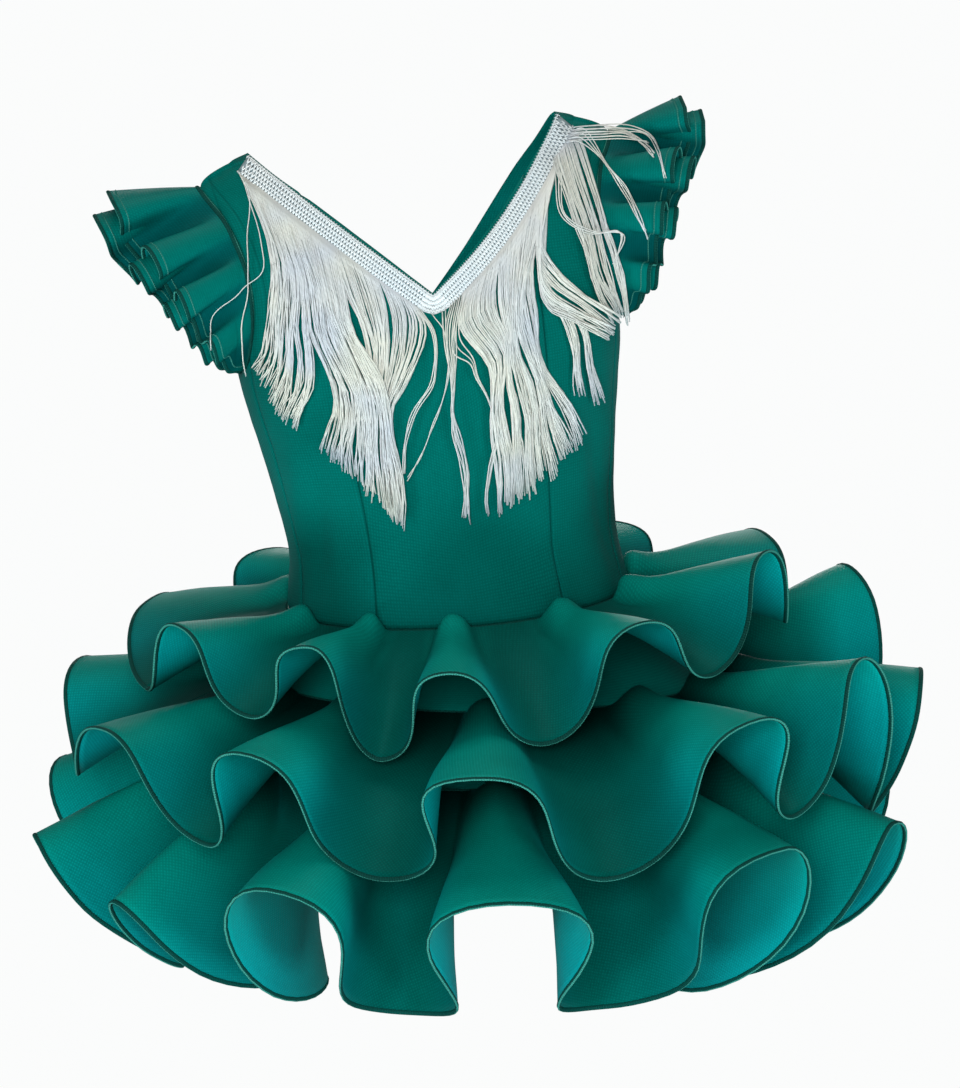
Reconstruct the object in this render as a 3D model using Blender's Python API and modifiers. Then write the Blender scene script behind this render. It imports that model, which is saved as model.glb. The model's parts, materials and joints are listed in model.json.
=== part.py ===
"""A child's flamenco dress: fitted bodice with a dropped waist, fringed V neck, double cap ruffles, three circular flounces.

Metres, +Z up, +X to the right of the front view, the front faces -Y. The origin is midway between the two shoulders.
Azimuths are in degrees: 0 is the front, 90 the +X side, 180 the back.
"""

import math
from collections import namedtuple

import bmesh
import bpy
from mathutils import Vector

# Cloth and seams
CLOTH = 0.0012
SEAM_GAP = 0.0003
TEAL = (0.012, 0.125, 0.118)
SILVER = (0.60, 0.63, 0.60)

# How the filled-out bodice stands on the dropped waist
WAIST_CENTRE = Vector((0.039, 0.0, -0.308))
LEAN = 7.0
WAIST_TILT = 3.5
TILT_HEIGHT = 0.12
YAW = 7.5
FRONT_DIP = 0.010

# Girth of the bodice, by height over the waist seam
Section = namedtuple("Section", "height half_width front_depth back_depth")
SECTIONS = [
    Section(0.000, 0.1160, 0.079, 0.083),
    Section(0.012, 0.1140, 0.076, 0.079),
    Section(0.042, 0.1105, 0.069, 0.070),
    Section(0.092, 0.1165, 0.072, 0.073),
    Section(0.152, 0.1270, 0.076, 0.078),
    Section(0.192, 0.1290, 0.073, 0.077),
    Section(0.232, 0.1300, 0.063, 0.068),
    Section(0.272, 0.1330, 0.043, 0.049),
    Section(0.292, 0.1370, 0.027, 0.031),
    Section(0.3105, 0.1370, 0.0002, 0.0002),
]

# The section is an ellipse at the waist and grows squarer up to the shoulders
SQUARE_FROM = 0.10
SQUARE_SPAN = 0.14
SQUARE_POWER = 0.45

# Neck and shoulders, in the bodice's own frame
NECK_POINT_X = 0.103
SHOULDER_HEIGHT = 0.3105
SHOULDER_SLOPE = 0.52
FRONT_NECK_HEIGHT = 0.2115
BACK_NECK_HEIGHT = 0.175
NECK_SAG_LEFT = 0.001
NECK_SAG_RIGHT = 0.008
BACK_NECK_SAG = 0.010

# Panels: the princess seams and side seams stand at these azimuths either side of the centre front
PRINCESS_SEAM = 33.0
SIDE_SEAM = 71.0
SEAM_HALF_ANGLE = 0.12

# Armholes
ARMHOLE_HEIGHT = 0.230
ARMHOLE_HALF_HEIGHT = 0.0630
ARMHOLE_HALF_WIDTH = 28.0

# Skirt: each flounce is sewn to a ring, the first one in the waist seam
Ring = namedtuple("Ring", "x half_width half_depth z depth_of_cloth")
WAIST_FLOUNCE_DEPTH = 0.110
BASE_DROP = 0.012
MIDDLE_RING = Ring(0.058, 0.155, 0.117, -0.366, 0.140)
LOWER_RING = Ring(0.050, 0.170, 0.140, -0.412, 0.145)
FLOUNCE_STAND_OFF = 0.0011
FLOUNCE_BOW = 0.05

# Folds of a flounce, crest and valley in turn: where they point, how far they droop below level and how far the
# hem rolls over on either side of the valley
Fold = namedtuple("Fold", "crest crest_droop valley valley_droop roll_in roll_out")
UPPER_FOLDS = [
    Fold(0, 2, 18, 33, 0.004, 0.008),
    Fold(35, -7, 52, 19, 0.006, 0.008),
    Fold(69, -18, 85, 15, 0.008, 0.008),
    Fold(110, -7, 130, 24, 0.010, 0.010),
    Fold(150, -2, 168, 26, 0.010, 0.010),
    Fold(186, -2, 204, 26, 0.010, 0.010),
    Fold(222, -2, 237, 24, 0.010, 0.008),
    Fold(252, 2, 290, 18, 0.006, 0.006),
    Fold(304, -10, 322, 18, 0.006, 0.008),
    Fold(334, -8, 347, 35, 0.004, 0.008),
]
MIDDLE_FOLDS = [
    Fold(0, 2, 17, 36, 0.008, 0.014),
    Fold(37, -8, 45, 22, 0.012, 0.006),
    Fold(58, -17, 72, 34, 0.008, 0.008),
    Fold(87, -1, 101, 30, 0.010, 0.008),
    Fold(115, -20, 132, 34, 0.008, 0.010),
    Fold(150, -4, 168, 33, 0.014, 0.014),
    Fold(186, -2, 203, 33, 0.014, 0.014),
    Fold(220, -2, 238, 33, 0.014, 0.010),
    Fold(257, 4, 277, 27, 0.008, 0.006),
    Fold(302, 2, 318, 31, 0.006, 0.010),
    Fold(327, 0, 345, 35, 0.010, 0.020),
]
LOWER_FOLDS = [
    Fold(4, 13, 22, 70, 0.026, 0.030),
    Fold(40, 6, 50, 98, 0.012, 0.006),
    Fold(61, 9, 84, 74, 0.006, 0.012),
    Fold(115, 14, 132, 78, 0.014, 0.014),
    Fold(150, 16, 168, 78, 0.014, 0.014),
    Fold(186, 16, 203, 78, 0.014, 0.014),
    Fold(220, 16, 237, 78, 0.014, 0.014),
    Fold(253, 16, 270, 74, 0.012, 0.006),
    Fold(286, 20, 299, 68, 0.006, 0.004),
    Fold(308, 27, 318, 98, 0.008, 0.014),
    Fold(335, 13, 348, 72, 0.024, 0.026),
]
POINTS_PER_FOLD = 12

# Cap ruffles: two layers round each armhole, from under the front of the arm to under the back
RUFFLE_START = -58.0
RUFFLE_END = 238.0
RUFFLE_TAPER = 2.4
RUFFLE_FOLDS = 8
RUFFLE_POINTS = 6
RUFFLE_ROWS = 3
RUFFLE_SAG = 0.003
RUFFLE_ROLL = 0.003
RUFFLE_LIFT = 8.0
TANGENT_STEP = 14.0
Ruffle = namedtuple("Ruffle", "name depth crest valley stand_off")
RUFFLES = [
    Ruffle("upper", 0.064, 70, 90, 0.0012),
    Ruffle("lower", 0.076, 81, 101, -0.0012),
]
Sleeve = namedtuple("Sleeve", "hand side drop depth_share")
SLEEVES = [
    Sleeve("left", -1, 25, 0.95),
    Sleeve("right", 1, 12, 0.86),
]

# Fringe: a crochet header along the front neckline, and locks of rayon thread hanging from it
HEADER_WIDTH = 0.014
HEADER_THICKNESS = 0.0012
HEADER_OVERHANG = 0.001
HEADER_CLEARANCE = 0.0007
LOCK_WIDTH = 0.0013
LOCK_THICKNESS = 0.0011
LOCK_LAYERS = 3
LOCK_LAYER_STEP = 0.0019
LOCK_CLEARANCE = 0.0042
LOCK_TURN = 58.0
LOCK_RINGS = (0.07, 0.25, 0.50, 1.0)
Locks = namedtuple("Locks", "count root_from root_to end_x_from end_x_to end_z_from end_z_to")
LOCK_GROUPS = [
    Locks(9, 0.00, 0.11, -0.092, -0.084, -0.166, -0.182),
    Locks(9, 0.11, 0.20, -0.081, -0.056, -0.196, -0.206),
    Locks(22, 0.20, 0.45, -0.049, 0.000, -0.228, -0.262),
    Locks(8, 0.45, 0.55, 0.006, 0.052, -0.248, -0.258),
    Locks(20, 0.55, 0.80, 0.061, 0.116, -0.254, -0.214),
    Locks(11, 0.80, 1.00, 0.118, 0.140, -0.186, -0.150),
]


def between(low, high, share):
    return low + (high - low) * share


def ease(share):
    """0 to 1 with a level start and end."""
    return (1 - math.cos(math.pi * min(max(share, 0.0), 1.0))) / 2


def section_value(height, column):
    """One column of SECTIONS at any height; depths are blended as squares, which rounds the shoulder."""
    rows = SECTIONS
    height = min(max(height, rows[0].height), rows[-1].height)
    at = next(i for i in range(len(rows) - 1) if height <= rows[i + 1].height)
    power = 1 if column == "half_width" else 2
    values = [getattr(row, column) ** power for row in rows]
    heights = [row.height for row in rows]

    def slope(i):
        if i in (0, len(rows) - 1):
            return 0.0 if i == 0 else (values[i] - values[i - 1]) / (heights[i] - heights[i - 1])
        return (values[i + 1] - values[i - 1]) / (heights[i + 1] - heights[i - 1])

    span = heights[at + 1] - heights[at]
    t = (height - heights[at]) / span
    value = (
        (2 * t**3 - 3 * t**2 + 1) * values[at]
        + (t**3 - 2 * t**2 + t) * span * slope(at)
        + (3 * t**2 - 2 * t**3) * values[at + 1]
        + (t**3 - t**2) * span * slope(at + 1)
    )
    return max(value, 0.0) ** (1 / power)


def body_direction(x, y, z):
    """Turns a direction of the upright bodice to the way it stands."""
    yaw, lean = math.radians(YAW), math.radians(LEAN)
    x, y = x * math.cos(yaw) - y * math.sin(yaw), x * math.sin(yaw) + y * math.cos(yaw)
    return Vector((x * math.cos(lean) - z * math.sin(lean), y, x * math.sin(lean) + z * math.cos(lean)))


def bodice_surface(azimuth, height, forward=0.0):
    """A point of the bodice's inner face, azimuth counted from the centre front."""
    turn = math.radians(azimuth)
    x = section_value(height, "half_width") * math.sin(turn)
    dropped = height + SHOULDER_SLOPE * max(0.0, abs(x) - NECK_POINT_X) * ease((height - SQUARE_FROM) / SQUARE_SPAN)
    column = "front_depth" if math.cos(turn) > 0 else "back_depth"
    power = between(1.0, SQUARE_POWER, ease((height - SQUARE_FROM) / SQUARE_SPAN))
    y = -section_value(dropped, column) * math.copysign(abs(math.cos(turn)) ** power, math.cos(turn)) - forward
    yaw, lean = math.radians(YAW), math.radians(LEAN)
    tilt = math.radians(between(WAIST_TILT, LEAN, ease(height / TILT_HEIGHT)))
    x, y = x * math.cos(yaw) - y * math.sin(yaw), x * math.sin(yaw) + y * math.cos(yaw)
    dip = FRONT_DIP * (1 + math.cos(turn)) / 2 * (1 - ease(height / TILT_HEIGHT))
    centre = WAIST_CENTRE + height * Vector((-math.sin(lean), 0, math.cos(lean)))
    return centre + Vector((x * math.cos(tilt), y, x * math.sin(tilt) - dip))


def bodice_normal(azimuth, height):
    """The direction straight out of the bodice there."""
    step_turn, step_height = 0.5, 0.0005
    across = bodice_surface(azimuth + step_turn, height) - bodice_surface(azimuth - step_turn, height)
    up = bodice_surface(azimuth, height) - bodice_surface(azimuth, height - step_height)
    return across.cross(up).normalized()


def bodice_point(azimuth, height, out):
    return bodice_surface(azimuth, height) + bodice_normal(azimuth, height) * out


def azimuth_of(x, height):
    """The azimuth of the point x across the front at this height."""
    return math.degrees(math.asin(max(-1.0, min(1.0, x / section_value(height, "half_width")))))


def neck_height(x):
    """Height of the front neckline at x."""
    share = min(abs(x) / NECK_POINT_X, 1.0)
    sag = NECK_SAG_RIGHT if x > 0 else NECK_SAG_LEFT
    return between(FRONT_NECK_HEIGHT, SHOULDER_HEIGHT, share) - sag * math.sin(math.pi * share)


def back_neck_height(x):
    share = min(abs(x) / NECK_POINT_X, 1.0)
    return between(BACK_NECK_HEIGHT, SHOULDER_HEIGHT, share) - BACK_NECK_SAG * math.sin(math.pi * share)


def armhole_edge(turn):
    """Azimuth and height of the armhole's edge; turn is 0 at its front, 90 at the shoulder, 270 under the arm."""
    angle = math.radians(turn)
    return 90 - ARMHOLE_HALF_WIDTH * math.cos(angle), ARMHOLE_HEIGHT + ARMHOLE_HALF_HEIGHT * math.sin(angle)


def armhole_turn_at(azimuth):
    """Where the armhole's lower front edge passes this azimuth."""
    return -math.degrees(math.acos((90 - azimuth) / ARMHOLE_HALF_WIDTH))


def even_points(path, count):
    """Points at equal steps along a path of (azimuth, height) pairs, measured on a body of mean radius."""
    mean_radius = 0.1
    lengths = [0.0]
    for first, second in zip(path, path[1:]):
        across = math.radians(second[0] - first[0]) * mean_radius
        lengths.append(lengths[-1] + math.hypot(across, second[1] - first[1]))
    points = []
    for step in range(count + 1):
        wanted = lengths[-1] * step / count
        at = next(i for i in range(len(path) - 1) if wanted <= lengths[i + 1] + 1e-9)
        share = (wanted - lengths[at]) / max(lengths[at + 1] - lengths[at], 1e-9)
        points.append(tuple(between(a, b, share) for a, b in zip(path[at], path[at + 1])))
    return points


def loft(inner, outer, columns, forward=0.0):
    """Rows of surface points between two edges of (azimuth, height) pairs of equal count."""
    rows = []
    for low, high in zip(inner, outer):
        row = []
        for column in range(columns + 1):
            azimuth, height = (between(a, b, column / columns) for a, b in zip(low, high))
            row.append(bodice_surface(azimuth, height, forward))
        rows.append(row)
    return rows


def material(name, colour, roughness):
    made = bpy.data.materials.new(name)
    made.use_nodes = True
    shader = made.node_tree.nodes["Principled BSDF"]
    shader.inputs["Base Color"].default_value = (*colour, 1.0)
    shader.inputs["Roughness"].default_value = roughness
    shader.inputs["Metallic"].default_value = 0.0
    return made


def new_object(name, mesh, colour, roughness):
    mesh.materials.append(material(name, colour, roughness))
    mesh.shade_smooth()
    made = bpy.data.objects.new(name, mesh)
    bpy.data.collections["flamenco_dress"].objects.link(made)
    return made


def cloth_object(name, grids, offset, closed=False, turned=False):
    """A wall of cloth over one or more grids of points, each a list of rows; grids that share points are joined."""
    shell = bmesh.new()
    for rows in grids:
        placed = [[shell.verts.new(point) for point in row] for row in rows]
        columns = len(rows[0]) if closed else len(rows[0]) - 1
        for lower, upper in zip(placed, placed[1:]):
            for column in range(columns):
                nxt = (column + 1) % len(lower)
                corners = [lower[column], lower[nxt], upper[nxt], upper[column]]
                shell.faces.new(corners[::-1] if turned else corners)
    bmesh.ops.remove_doubles(shell, verts=shell.verts, dist=0.00001)
    mesh = bpy.data.meshes.new(name)
    shell.to_mesh(mesh)
    shell.free()
    made = new_object(name, mesh, TEAL, 0.62)
    wall = made.modifiers.new("cloth thickness", "SOLIDIFY")
    wall.thickness = CLOTH
    wall.offset = offset
    return made


def build_front_centre():
    """The front panel between the two princess seams, cut to the V at the top."""
    rows_up, columns = 9, 8
    edge = PRINCESS_SEAM - SEAM_HALF_ANGLE
    azimuths = [between(-edge, edge, column / columns) for column in range(columns + 1)]
    rows = []
    for row in range(rows_up + 1):
        line = []
        for azimuth in azimuths:
            top = neck_height(section_value(SHOULDER_HEIGHT, "half_width") * math.sin(math.radians(azimuth)))
            line.append(bodice_surface(azimuth, top * row / rows_up, SEAM_GAP / 2))
        rows.append(line)
    cloth_object("bodice_front_centre", [rows], 1)


def build_front_side(side):
    """The panel from a princess seam to a side seam, with half the V and the front of the armhole and shoulder."""
    rows_up, columns = 15, 5
    edge = PRINCESS_SEAM + SEAM_HALF_ANGLE
    half = section_value(SHOULDER_HEIGHT, "half_width")
    inner = [(edge, 0.0)]
    edge_x = half * math.sin(math.radians(edge))
    neck_steps = 6
    for step in range(neck_steps + 1):
        x = between(edge_x, NECK_POINT_X, step / neck_steps)
        inner.append((azimuth_of(x, SHOULDER_HEIGHT), neck_height(side * x)))
    seam = SIDE_SEAM - SEAM_HALF_ANGLE / 2
    start = armhole_turn_at(seam)
    arc_steps = 16
    outer = [(seam, 0.0)] + [armhole_edge(between(start, 90, step / arc_steps)) for step in range(arc_steps + 1)]
    inner, outer = even_points(inner, rows_up), even_points(outer, rows_up)
    if side < 0:
        inner, outer = [(-a, h) for a, h in outer], [(-a, h) for a, h in inner]
    name = "bodice_front_side_right" if side > 0 else "bodice_front_side_left"
    cloth_object(name, [loft(inner, outer, columns, SEAM_GAP / 2)], 1)


def build_back():
    """The back, in one piece from side seam to side seam, with the deeper back V."""
    seam = SIDE_SEAM + SEAM_HALF_ANGLE / 2
    under_steps, side_steps, rows_up = 3, 10, 7
    underarm_turn = armhole_turn_at(seam)
    tops = [armhole_edge(between(underarm_turn, -90, step / under_steps)) for step in range(under_steps + 1)]
    underarm = tops[-1][1]
    tops += [(between(90, 180, step / side_steps), underarm) for step in range(1, side_steps + 1)]
    tops += [(360 - azimuth, height) for azimuth, height in tops[-2::-1]]
    lower = []
    for row in range(rows_up + 1):
        lower.append([bodice_surface(a, h * row / rows_up, -SEAM_GAP / 2) for a, h in tops])
    grids = [lower]
    rows_over, neck_steps = 9, 8
    neck = [(180, underarm), (180, BACK_NECK_HEIGHT)]
    for step in range(1, neck_steps + 1):
        x = NECK_POINT_X * step / neck_steps
        neck.append((180 - azimuth_of(x, SHOULDER_HEIGHT), back_neck_height(x)))
    armhole = [armhole_edge(between(270, 90, step / 16)) for step in range(17)]
    inner, outer = even_points(armhole, rows_over), even_points(neck, rows_over)
    grids.append(loft(inner, outer, side_steps, -SEAM_GAP / 2))
    inner, outer = [(360 - a, h) for a, h in outer], [(360 - a, h) for a, h in inner]
    grids.append(loft(inner, outer, side_steps, -SEAM_GAP / 2))
    cloth_object("bodice_back", grids, 1)


def waist_edge(azimuth, out, down):
    """The waist seam seen from the skirt: azimuth counted from the front of the dress, not of the turned bodice."""
    return bodice_point(azimuth - YAW, 0.0, out) - Vector((0, 0, down))


def ring_edge(ring, azimuth, out):
    turn = math.radians(azimuth)
    x = ring.x + (ring.half_width + out) * math.sin(turn)
    return Vector((x, -(ring.half_depth + out) * math.cos(turn), ring.z))


def build_skirt_base():
    """The short flared base under the flounces, from the waist seam to the seam of the lowest flounce."""
    columns = 48
    rows = []
    for share in (0, 1.0, 2.0, 2.5, 3.0):
        row = []
        for column in range(columns):
            azimuth = 360 * column / columns
            top = waist_edge(azimuth, CLOTH / 2, CLOTH)
            points = [top, top - Vector((0, 0, BASE_DROP)), ring_edge(MIDDLE_RING, azimuth, 0)]
            points.append(ring_edge(LOWER_RING, azimuth, 0))
            at = min(int(share), 2)
            row.append(points[at].lerp(points[at + 1], share - at))
        rows.append(row)
    cloth_object("skirt_base", [rows], 0, closed=True, turned=True)


def fold_state(folds, turn):
    """Azimuth, droop and roll of a flounce's hem; turn counts folds, whole at a crest and half-way at a valley."""
    index = int(turn) % len(folds)
    here, following = folds[index], folds[(index + 1) % len(folds)]
    next_crest = following.crest + (360 if index == len(folds) - 1 else 0)
    share = turn - int(turn)
    if share < 0.5:
        part = share * 2
        from_crest = part
        azimuth = between(here.crest, here.valley, part)
        droop = between(here.crest_droop, here.valley_droop, ease(part))
        roll = here.roll_in
    else:
        part = share * 2 - 1
        from_crest = 1 - part
        azimuth = between(here.valley, next_crest, part)
        droop = between(here.valley_droop, following.crest_droop, ease(part))
        roll = here.roll_out
    return azimuth, droop, roll * (1.3 - 0.9 * from_crest) * math.sin(2 * math.pi * part)


def flounce_point(ring, folds, turn, share):
    """A point of a flounce's middle surface, share 0 at its seam and 1 at its hem."""
    azimuth, droop, roll = fold_state(folds, turn)
    angle, down = math.radians(azimuth), math.radians(droop)
    if ring is None:
        seam, depth = waist_edge(azimuth, CLOTH + FLOUNCE_STAND_OFF, SEAM_GAP), WAIST_FLOUNCE_DEPTH
        half_width, half_depth = SECTIONS[0].half_width, SECTIONS[0].front_depth
        tilt = math.tan(math.radians(WAIST_TILT)) * math.sin(angle)
    else:
        seam, depth = ring_edge(ring, azimuth, CLOTH / 2 + FLOUNCE_STAND_OFF), ring.depth_of_cloth
        half_width, half_depth = ring.half_width, ring.half_depth
        tilt = 0.0
    radial = Vector((math.sin(angle), -math.cos(angle), 0))
    square = Vector((math.sin(angle) / half_width, -math.cos(angle) / half_depth, 0)).normalized()
    out = (radial + square).normalized()
    along = Vector((math.cos(angle), math.sin(angle), 0))
    run = out * math.cos(down) + Vector((0, 0, tilt * math.cos(down) - math.sin(down)))
    upright = out * math.sin(down) + Vector((0, 0, math.cos(down)))
    bow = FLOUNCE_BOW * depth * math.sin(math.pi * share) * (1 - share / 2)
    return seam + run * depth * share + along * roll * share + upright * bow


def seam_allowance(folds, turn):
    """Step back from the middle of a flounce's joining seam: half the gap, and half the wall, which turns up there."""
    azimuth = math.radians(fold_state(folds, turn % len(folds))[0])
    return Vector((math.cos(azimuth), math.sin(azimuth), 0)) * (SEAM_GAP + CLOTH) / 2


def build_flounce(name, ring, folds, shares, first_valley, last_valley):
    """A flounce in two lengths joined in the valleys of two folds: one goes round the front, the other round the back."""
    whole = len(folds)
    spans = {"front": (last_valley - whole, first_valley), "back": (first_valley, last_valley)}
    for place, (start, end) in spans.items():
        steps = round((end - start) * POINTS_PER_FOLD)
        rows = []
        for share in shares:
            turns = [between(start, end, step / steps) for step in range(steps + 1)]
            row = [flounce_point(ring, folds, turn % whole, share) for turn in turns]
            row[0] += seam_allowance(folds, start)
            row[-1] -= seam_allowance(folds, end)
            rows.append(row)
        cloth_object(f"{name}_{place}", [rows], 0, turned=True)


def ruffle_depth(ruffle, sleeve, turn):
    """Depth of a cap ruffle, full over the shoulder and running out under the arm."""
    half_span = (RUFFLE_END - RUFFLE_START) / 2 + 6
    return ruffle.depth * sleeve.depth_share * (1 - (abs(turn - 90) / half_span) ** RUFFLE_TAPER)


def ruffle_turns(count):
    """Armhole turns at equal steps of the ruffle's seam."""
    turns = [between(RUFFLE_START, RUFFLE_END, step / 200) for step in range(201)]
    places = [bodice_surface(*armhole_edge(turn)) for turn in turns]
    lengths = [0.0]
    for first, second in zip(places, places[1:]):
        lengths.append(lengths[-1] + (second - first).length)
    evenly = []
    for step in range(count + 1):
        wanted = lengths[-1] * step / count
        at = next(i for i in range(200) if wanted <= lengths[i + 1] + 1e-9)
        evenly.append(between(turns[at], turns[at + 1], (wanted - lengths[at]) / (lengths[at + 1] - lengths[at])))
    return evenly


def ruffle_point(ruffle, sleeve, turn, along, share):
    """A point of a cap ruffle's middle surface: turn and along give the place round the armhole, share 0 to 1 runs
    from seam to hem."""
    drop = math.radians(sleeve.drop)
    outward = body_direction(sleeve.side * math.cos(drop), 0, -math.sin(drop))
    places = []
    for step in (-TANGENT_STEP, 0.0, TANGENT_STEP):
        azimuth, height = armhole_edge(turn + step)
        places.append(bodice_surface(sleeve.side * azimuth, height))
    tangent = (places[2] - places[0]).normalized()
    radial = outward.cross(tangent).normalized() * sleeve.side
    phase = 2 * math.pi * RUFFLE_FOLDS * along
    depth = ruffle_depth(ruffle, sleeve, turn)
    fullness = depth / (ruffle.depth * sleeve.depth_share)
    middle, swing = (ruffle.valley + ruffle.crest) / 2, (ruffle.valley - ruffle.crest) / 2
    lift = RUFFLE_LIFT * max(0.0, math.sin(math.radians(turn))) ** 2
    flare = math.radians(middle - lift - swing * math.cos(phase) * fullness)
    seam = places[1] + outward * 0.0014 + radial * ruffle.stand_off
    run = radial * math.cos(flare) + outward * math.sin(flare)
    roll = RUFFLE_ROLL * math.sin(2 * phase) * fullness
    sag = Vector((0, 0, -RUFFLE_SAG * share * share * fullness))
    return seam + run * depth * share + tangent * roll * share + sag


def build_ruffles():
    for sleeve in SLEEVES:
        for ruffle in RUFFLES:
            steps = RUFFLE_FOLDS * RUFFLE_POINTS
            turns = ruffle_turns(steps)
            rows = []
            for row in range(RUFFLE_ROWS + 1):
                share = row / RUFFLE_ROWS
                rows.append([ruffle_point(ruffle, sleeve, turn, i / steps, share) for i, turn in enumerate(turns)])
            name = f"sleeve_ruffle_{ruffle.name}_{sleeve.hand}"
            cloth_object(name, [rows], 0, turned=sleeve.side > 0)


def header_place(share, below):
    """Azimuth and height on the front, share 0 to 1 along the neckline and a distance below its edge."""
    x = NECK_POINT_X * (2 * share - 1)
    step = 0.002
    rise = (neck_height(x + step) - neck_height(x - step)) / (2 * step)
    if abs(x) > NECK_POINT_X - step:
        rise = math.copysign(1.0, x)
    slant = math.atan(rise)
    height = min(neck_height(x) - below * math.cos(slant), SHOULDER_HEIGHT - 0.0015)
    return azimuth_of(x + below * math.sin(slant), height), height


def front_depth_at(x, z):
    """How far the bodice's front stands out at this x and z, and the way out of it there."""
    azimuth, height = 0.0, 0.2
    for _ in range(12):
        point = bodice_surface(azimuth, height)
        height = min(max(height + (z - point.z), 0.0), SHOULDER_HEIGHT - 0.004)
        half = section_value(height, "half_width")
        azimuth = max(-LOCK_TURN, min(LOCK_TURN, azimuth + math.degrees((x - point.x) / half)))
    return -bodice_surface(azimuth, height).y


def lock_rings(root, end, layer):
    """Centre points of one lock, hanging over the chest and never falling back under it."""
    stand = 0.0
    centres = []
    for share in LOCK_RINGS:
        x = between(root.x, end[0], ease(share) * 0.6 + share * 0.4)
        z = between(root.z, end[1], share)
        stand = max(stand - 0.004, front_depth_at(x, z))
        out = CLOTH + LOCK_CLEARANCE + layer * LOCK_LAYER_STEP * min(1.0, share / LOCK_RINGS[0])
        centres.append(Vector((x, -stand - out, z)))
    return centres


def build_fringe():
    """Header and locks in one solid: the header's lower edge runs on into the locks."""
    count = sum(group.count for group in LOCK_GROUPS)
    mesh = bmesh.new()
    low = CLOTH + HEADER_CLEARANCE
    high = low + HEADER_THICKNESS
    columns = []
    for index in range(count + 1):
        share = between(0.015, 0.985, index / count)
        corners = []
        for below, out in ((-HEADER_OVERHANG, low), (-HEADER_OVERHANG, high), (HEADER_WIDTH, high), (HEADER_WIDTH, low)):
            azimuth, height = header_place(share, below)
            corners.append(mesh.verts.new(bodice_point(azimuth, height, out)))
        columns.append(corners)
    for first, second in zip(columns, columns[1:]):
        for a, b in ((0, 1), (1, 2), (3, 0)):
            mesh.faces.new((first[a], first[b], second[b], second[a]))
    mesh.faces.new(columns[0][::-1])
    mesh.faces.new(columns[-1])
    index = 0
    for group in LOCK_GROUPS:
        for lock in range(group.count):
            share = (lock + 0.5) / group.count
            end = (between(group.end_x_from, group.end_x_to, share), between(group.end_z_from, group.end_z_to, share))
            left, right = columns[index], columns[index + 1]
            ring = [left[2], right[2], right[3], left[3]]
            root = sum((vert.co for vert in ring), Vector()) / 4
            layer = index % LOCK_LAYERS
            if root.x > WAIST_CENTRE.x:
                layer = LOCK_LAYERS - 1 - layer
            for centre in lock_rings(root, end, layer):
                half, thick = LOCK_WIDTH / 2, LOCK_THICKNESS / 2
                corners = ((-half, -thick), (half, -thick), (half, thick), (-half, thick))
                following = [mesh.verts.new(centre + Vector((x, y, 0))) for x, y in corners]
                for side in range(4):
                    nxt = (side + 1) % 4
                    mesh.faces.new((ring[side], following[side], following[nxt], ring[nxt]))
                ring = following
            mesh.faces.new(ring[::-1])
            index += 1
    bmesh.ops.recalc_face_normals(mesh, faces=mesh.faces)
    made = bpy.data.meshes.new("neck_fringe")
    mesh.to_mesh(made)
    mesh.free()
    new_object("neck_fringe", made, SILVER, 0.45)


for old in list(bpy.data.objects):
    bpy.data.objects.remove(old, do_unlink=True)
bpy.context.scene.collection.children.link(bpy.data.collections.new("flamenco_dress"))

build_front_centre()
build_front_side(-1)
build_front_side(1)
build_back()
build_ruffles()
build_skirt_base()
build_flounce("flounce_upper", None, UPPER_FOLDS, (0, 0.3, 0.65, 1), 2.5, 7.5)
build_flounce("flounce_middle", MIDDLE_RING, MIDDLE_FOLDS, (0, 0.25, 0.6, 1), 3.5, 8.5)
build_flounce("flounce_lower", LOWER_RING, LOWER_FOLDS, (0, 0.22, 0.5, 0.75, 1), 2.5, 7.5)
build_fringe()
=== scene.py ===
"""A child's flamenco dress, filled out as on a wearer. Metres, +Z up, the front faces -Y, +X to the right of
the
front view. Azimuths are in degrees: 0 is the front, 90 the +X side, 180 the back."""

import json
import math
import random
from collections import namedtuple

import bmesh
import bpy
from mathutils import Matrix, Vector, noise
from mathutils.bvhtree import BVHTree

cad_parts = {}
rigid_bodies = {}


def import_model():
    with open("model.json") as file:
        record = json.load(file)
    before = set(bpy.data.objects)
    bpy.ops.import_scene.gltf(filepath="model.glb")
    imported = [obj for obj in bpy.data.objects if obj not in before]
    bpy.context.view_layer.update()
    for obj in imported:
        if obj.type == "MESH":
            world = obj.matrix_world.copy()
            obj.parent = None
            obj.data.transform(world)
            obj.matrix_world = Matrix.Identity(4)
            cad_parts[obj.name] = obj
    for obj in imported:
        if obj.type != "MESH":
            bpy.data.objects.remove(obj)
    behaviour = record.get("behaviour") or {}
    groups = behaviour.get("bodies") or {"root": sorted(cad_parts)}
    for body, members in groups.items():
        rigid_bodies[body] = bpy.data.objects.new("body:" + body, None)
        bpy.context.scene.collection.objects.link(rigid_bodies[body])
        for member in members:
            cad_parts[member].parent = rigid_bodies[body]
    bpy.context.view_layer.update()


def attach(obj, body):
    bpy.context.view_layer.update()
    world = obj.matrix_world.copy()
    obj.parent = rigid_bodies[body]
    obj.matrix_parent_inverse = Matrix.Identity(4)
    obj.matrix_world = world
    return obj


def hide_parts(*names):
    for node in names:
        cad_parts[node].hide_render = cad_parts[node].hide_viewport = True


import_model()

# Camera: straight in front of the skirt's middle, a little above the shoulders, looking 12 degrees down from
# 2.5 metres away.
CAMERA_DROP = 12.0
CAMERA_DISTANCE = 2.5
CAMERA_AIM = Vector((0.053, 0.0, -0.2785))

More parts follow.
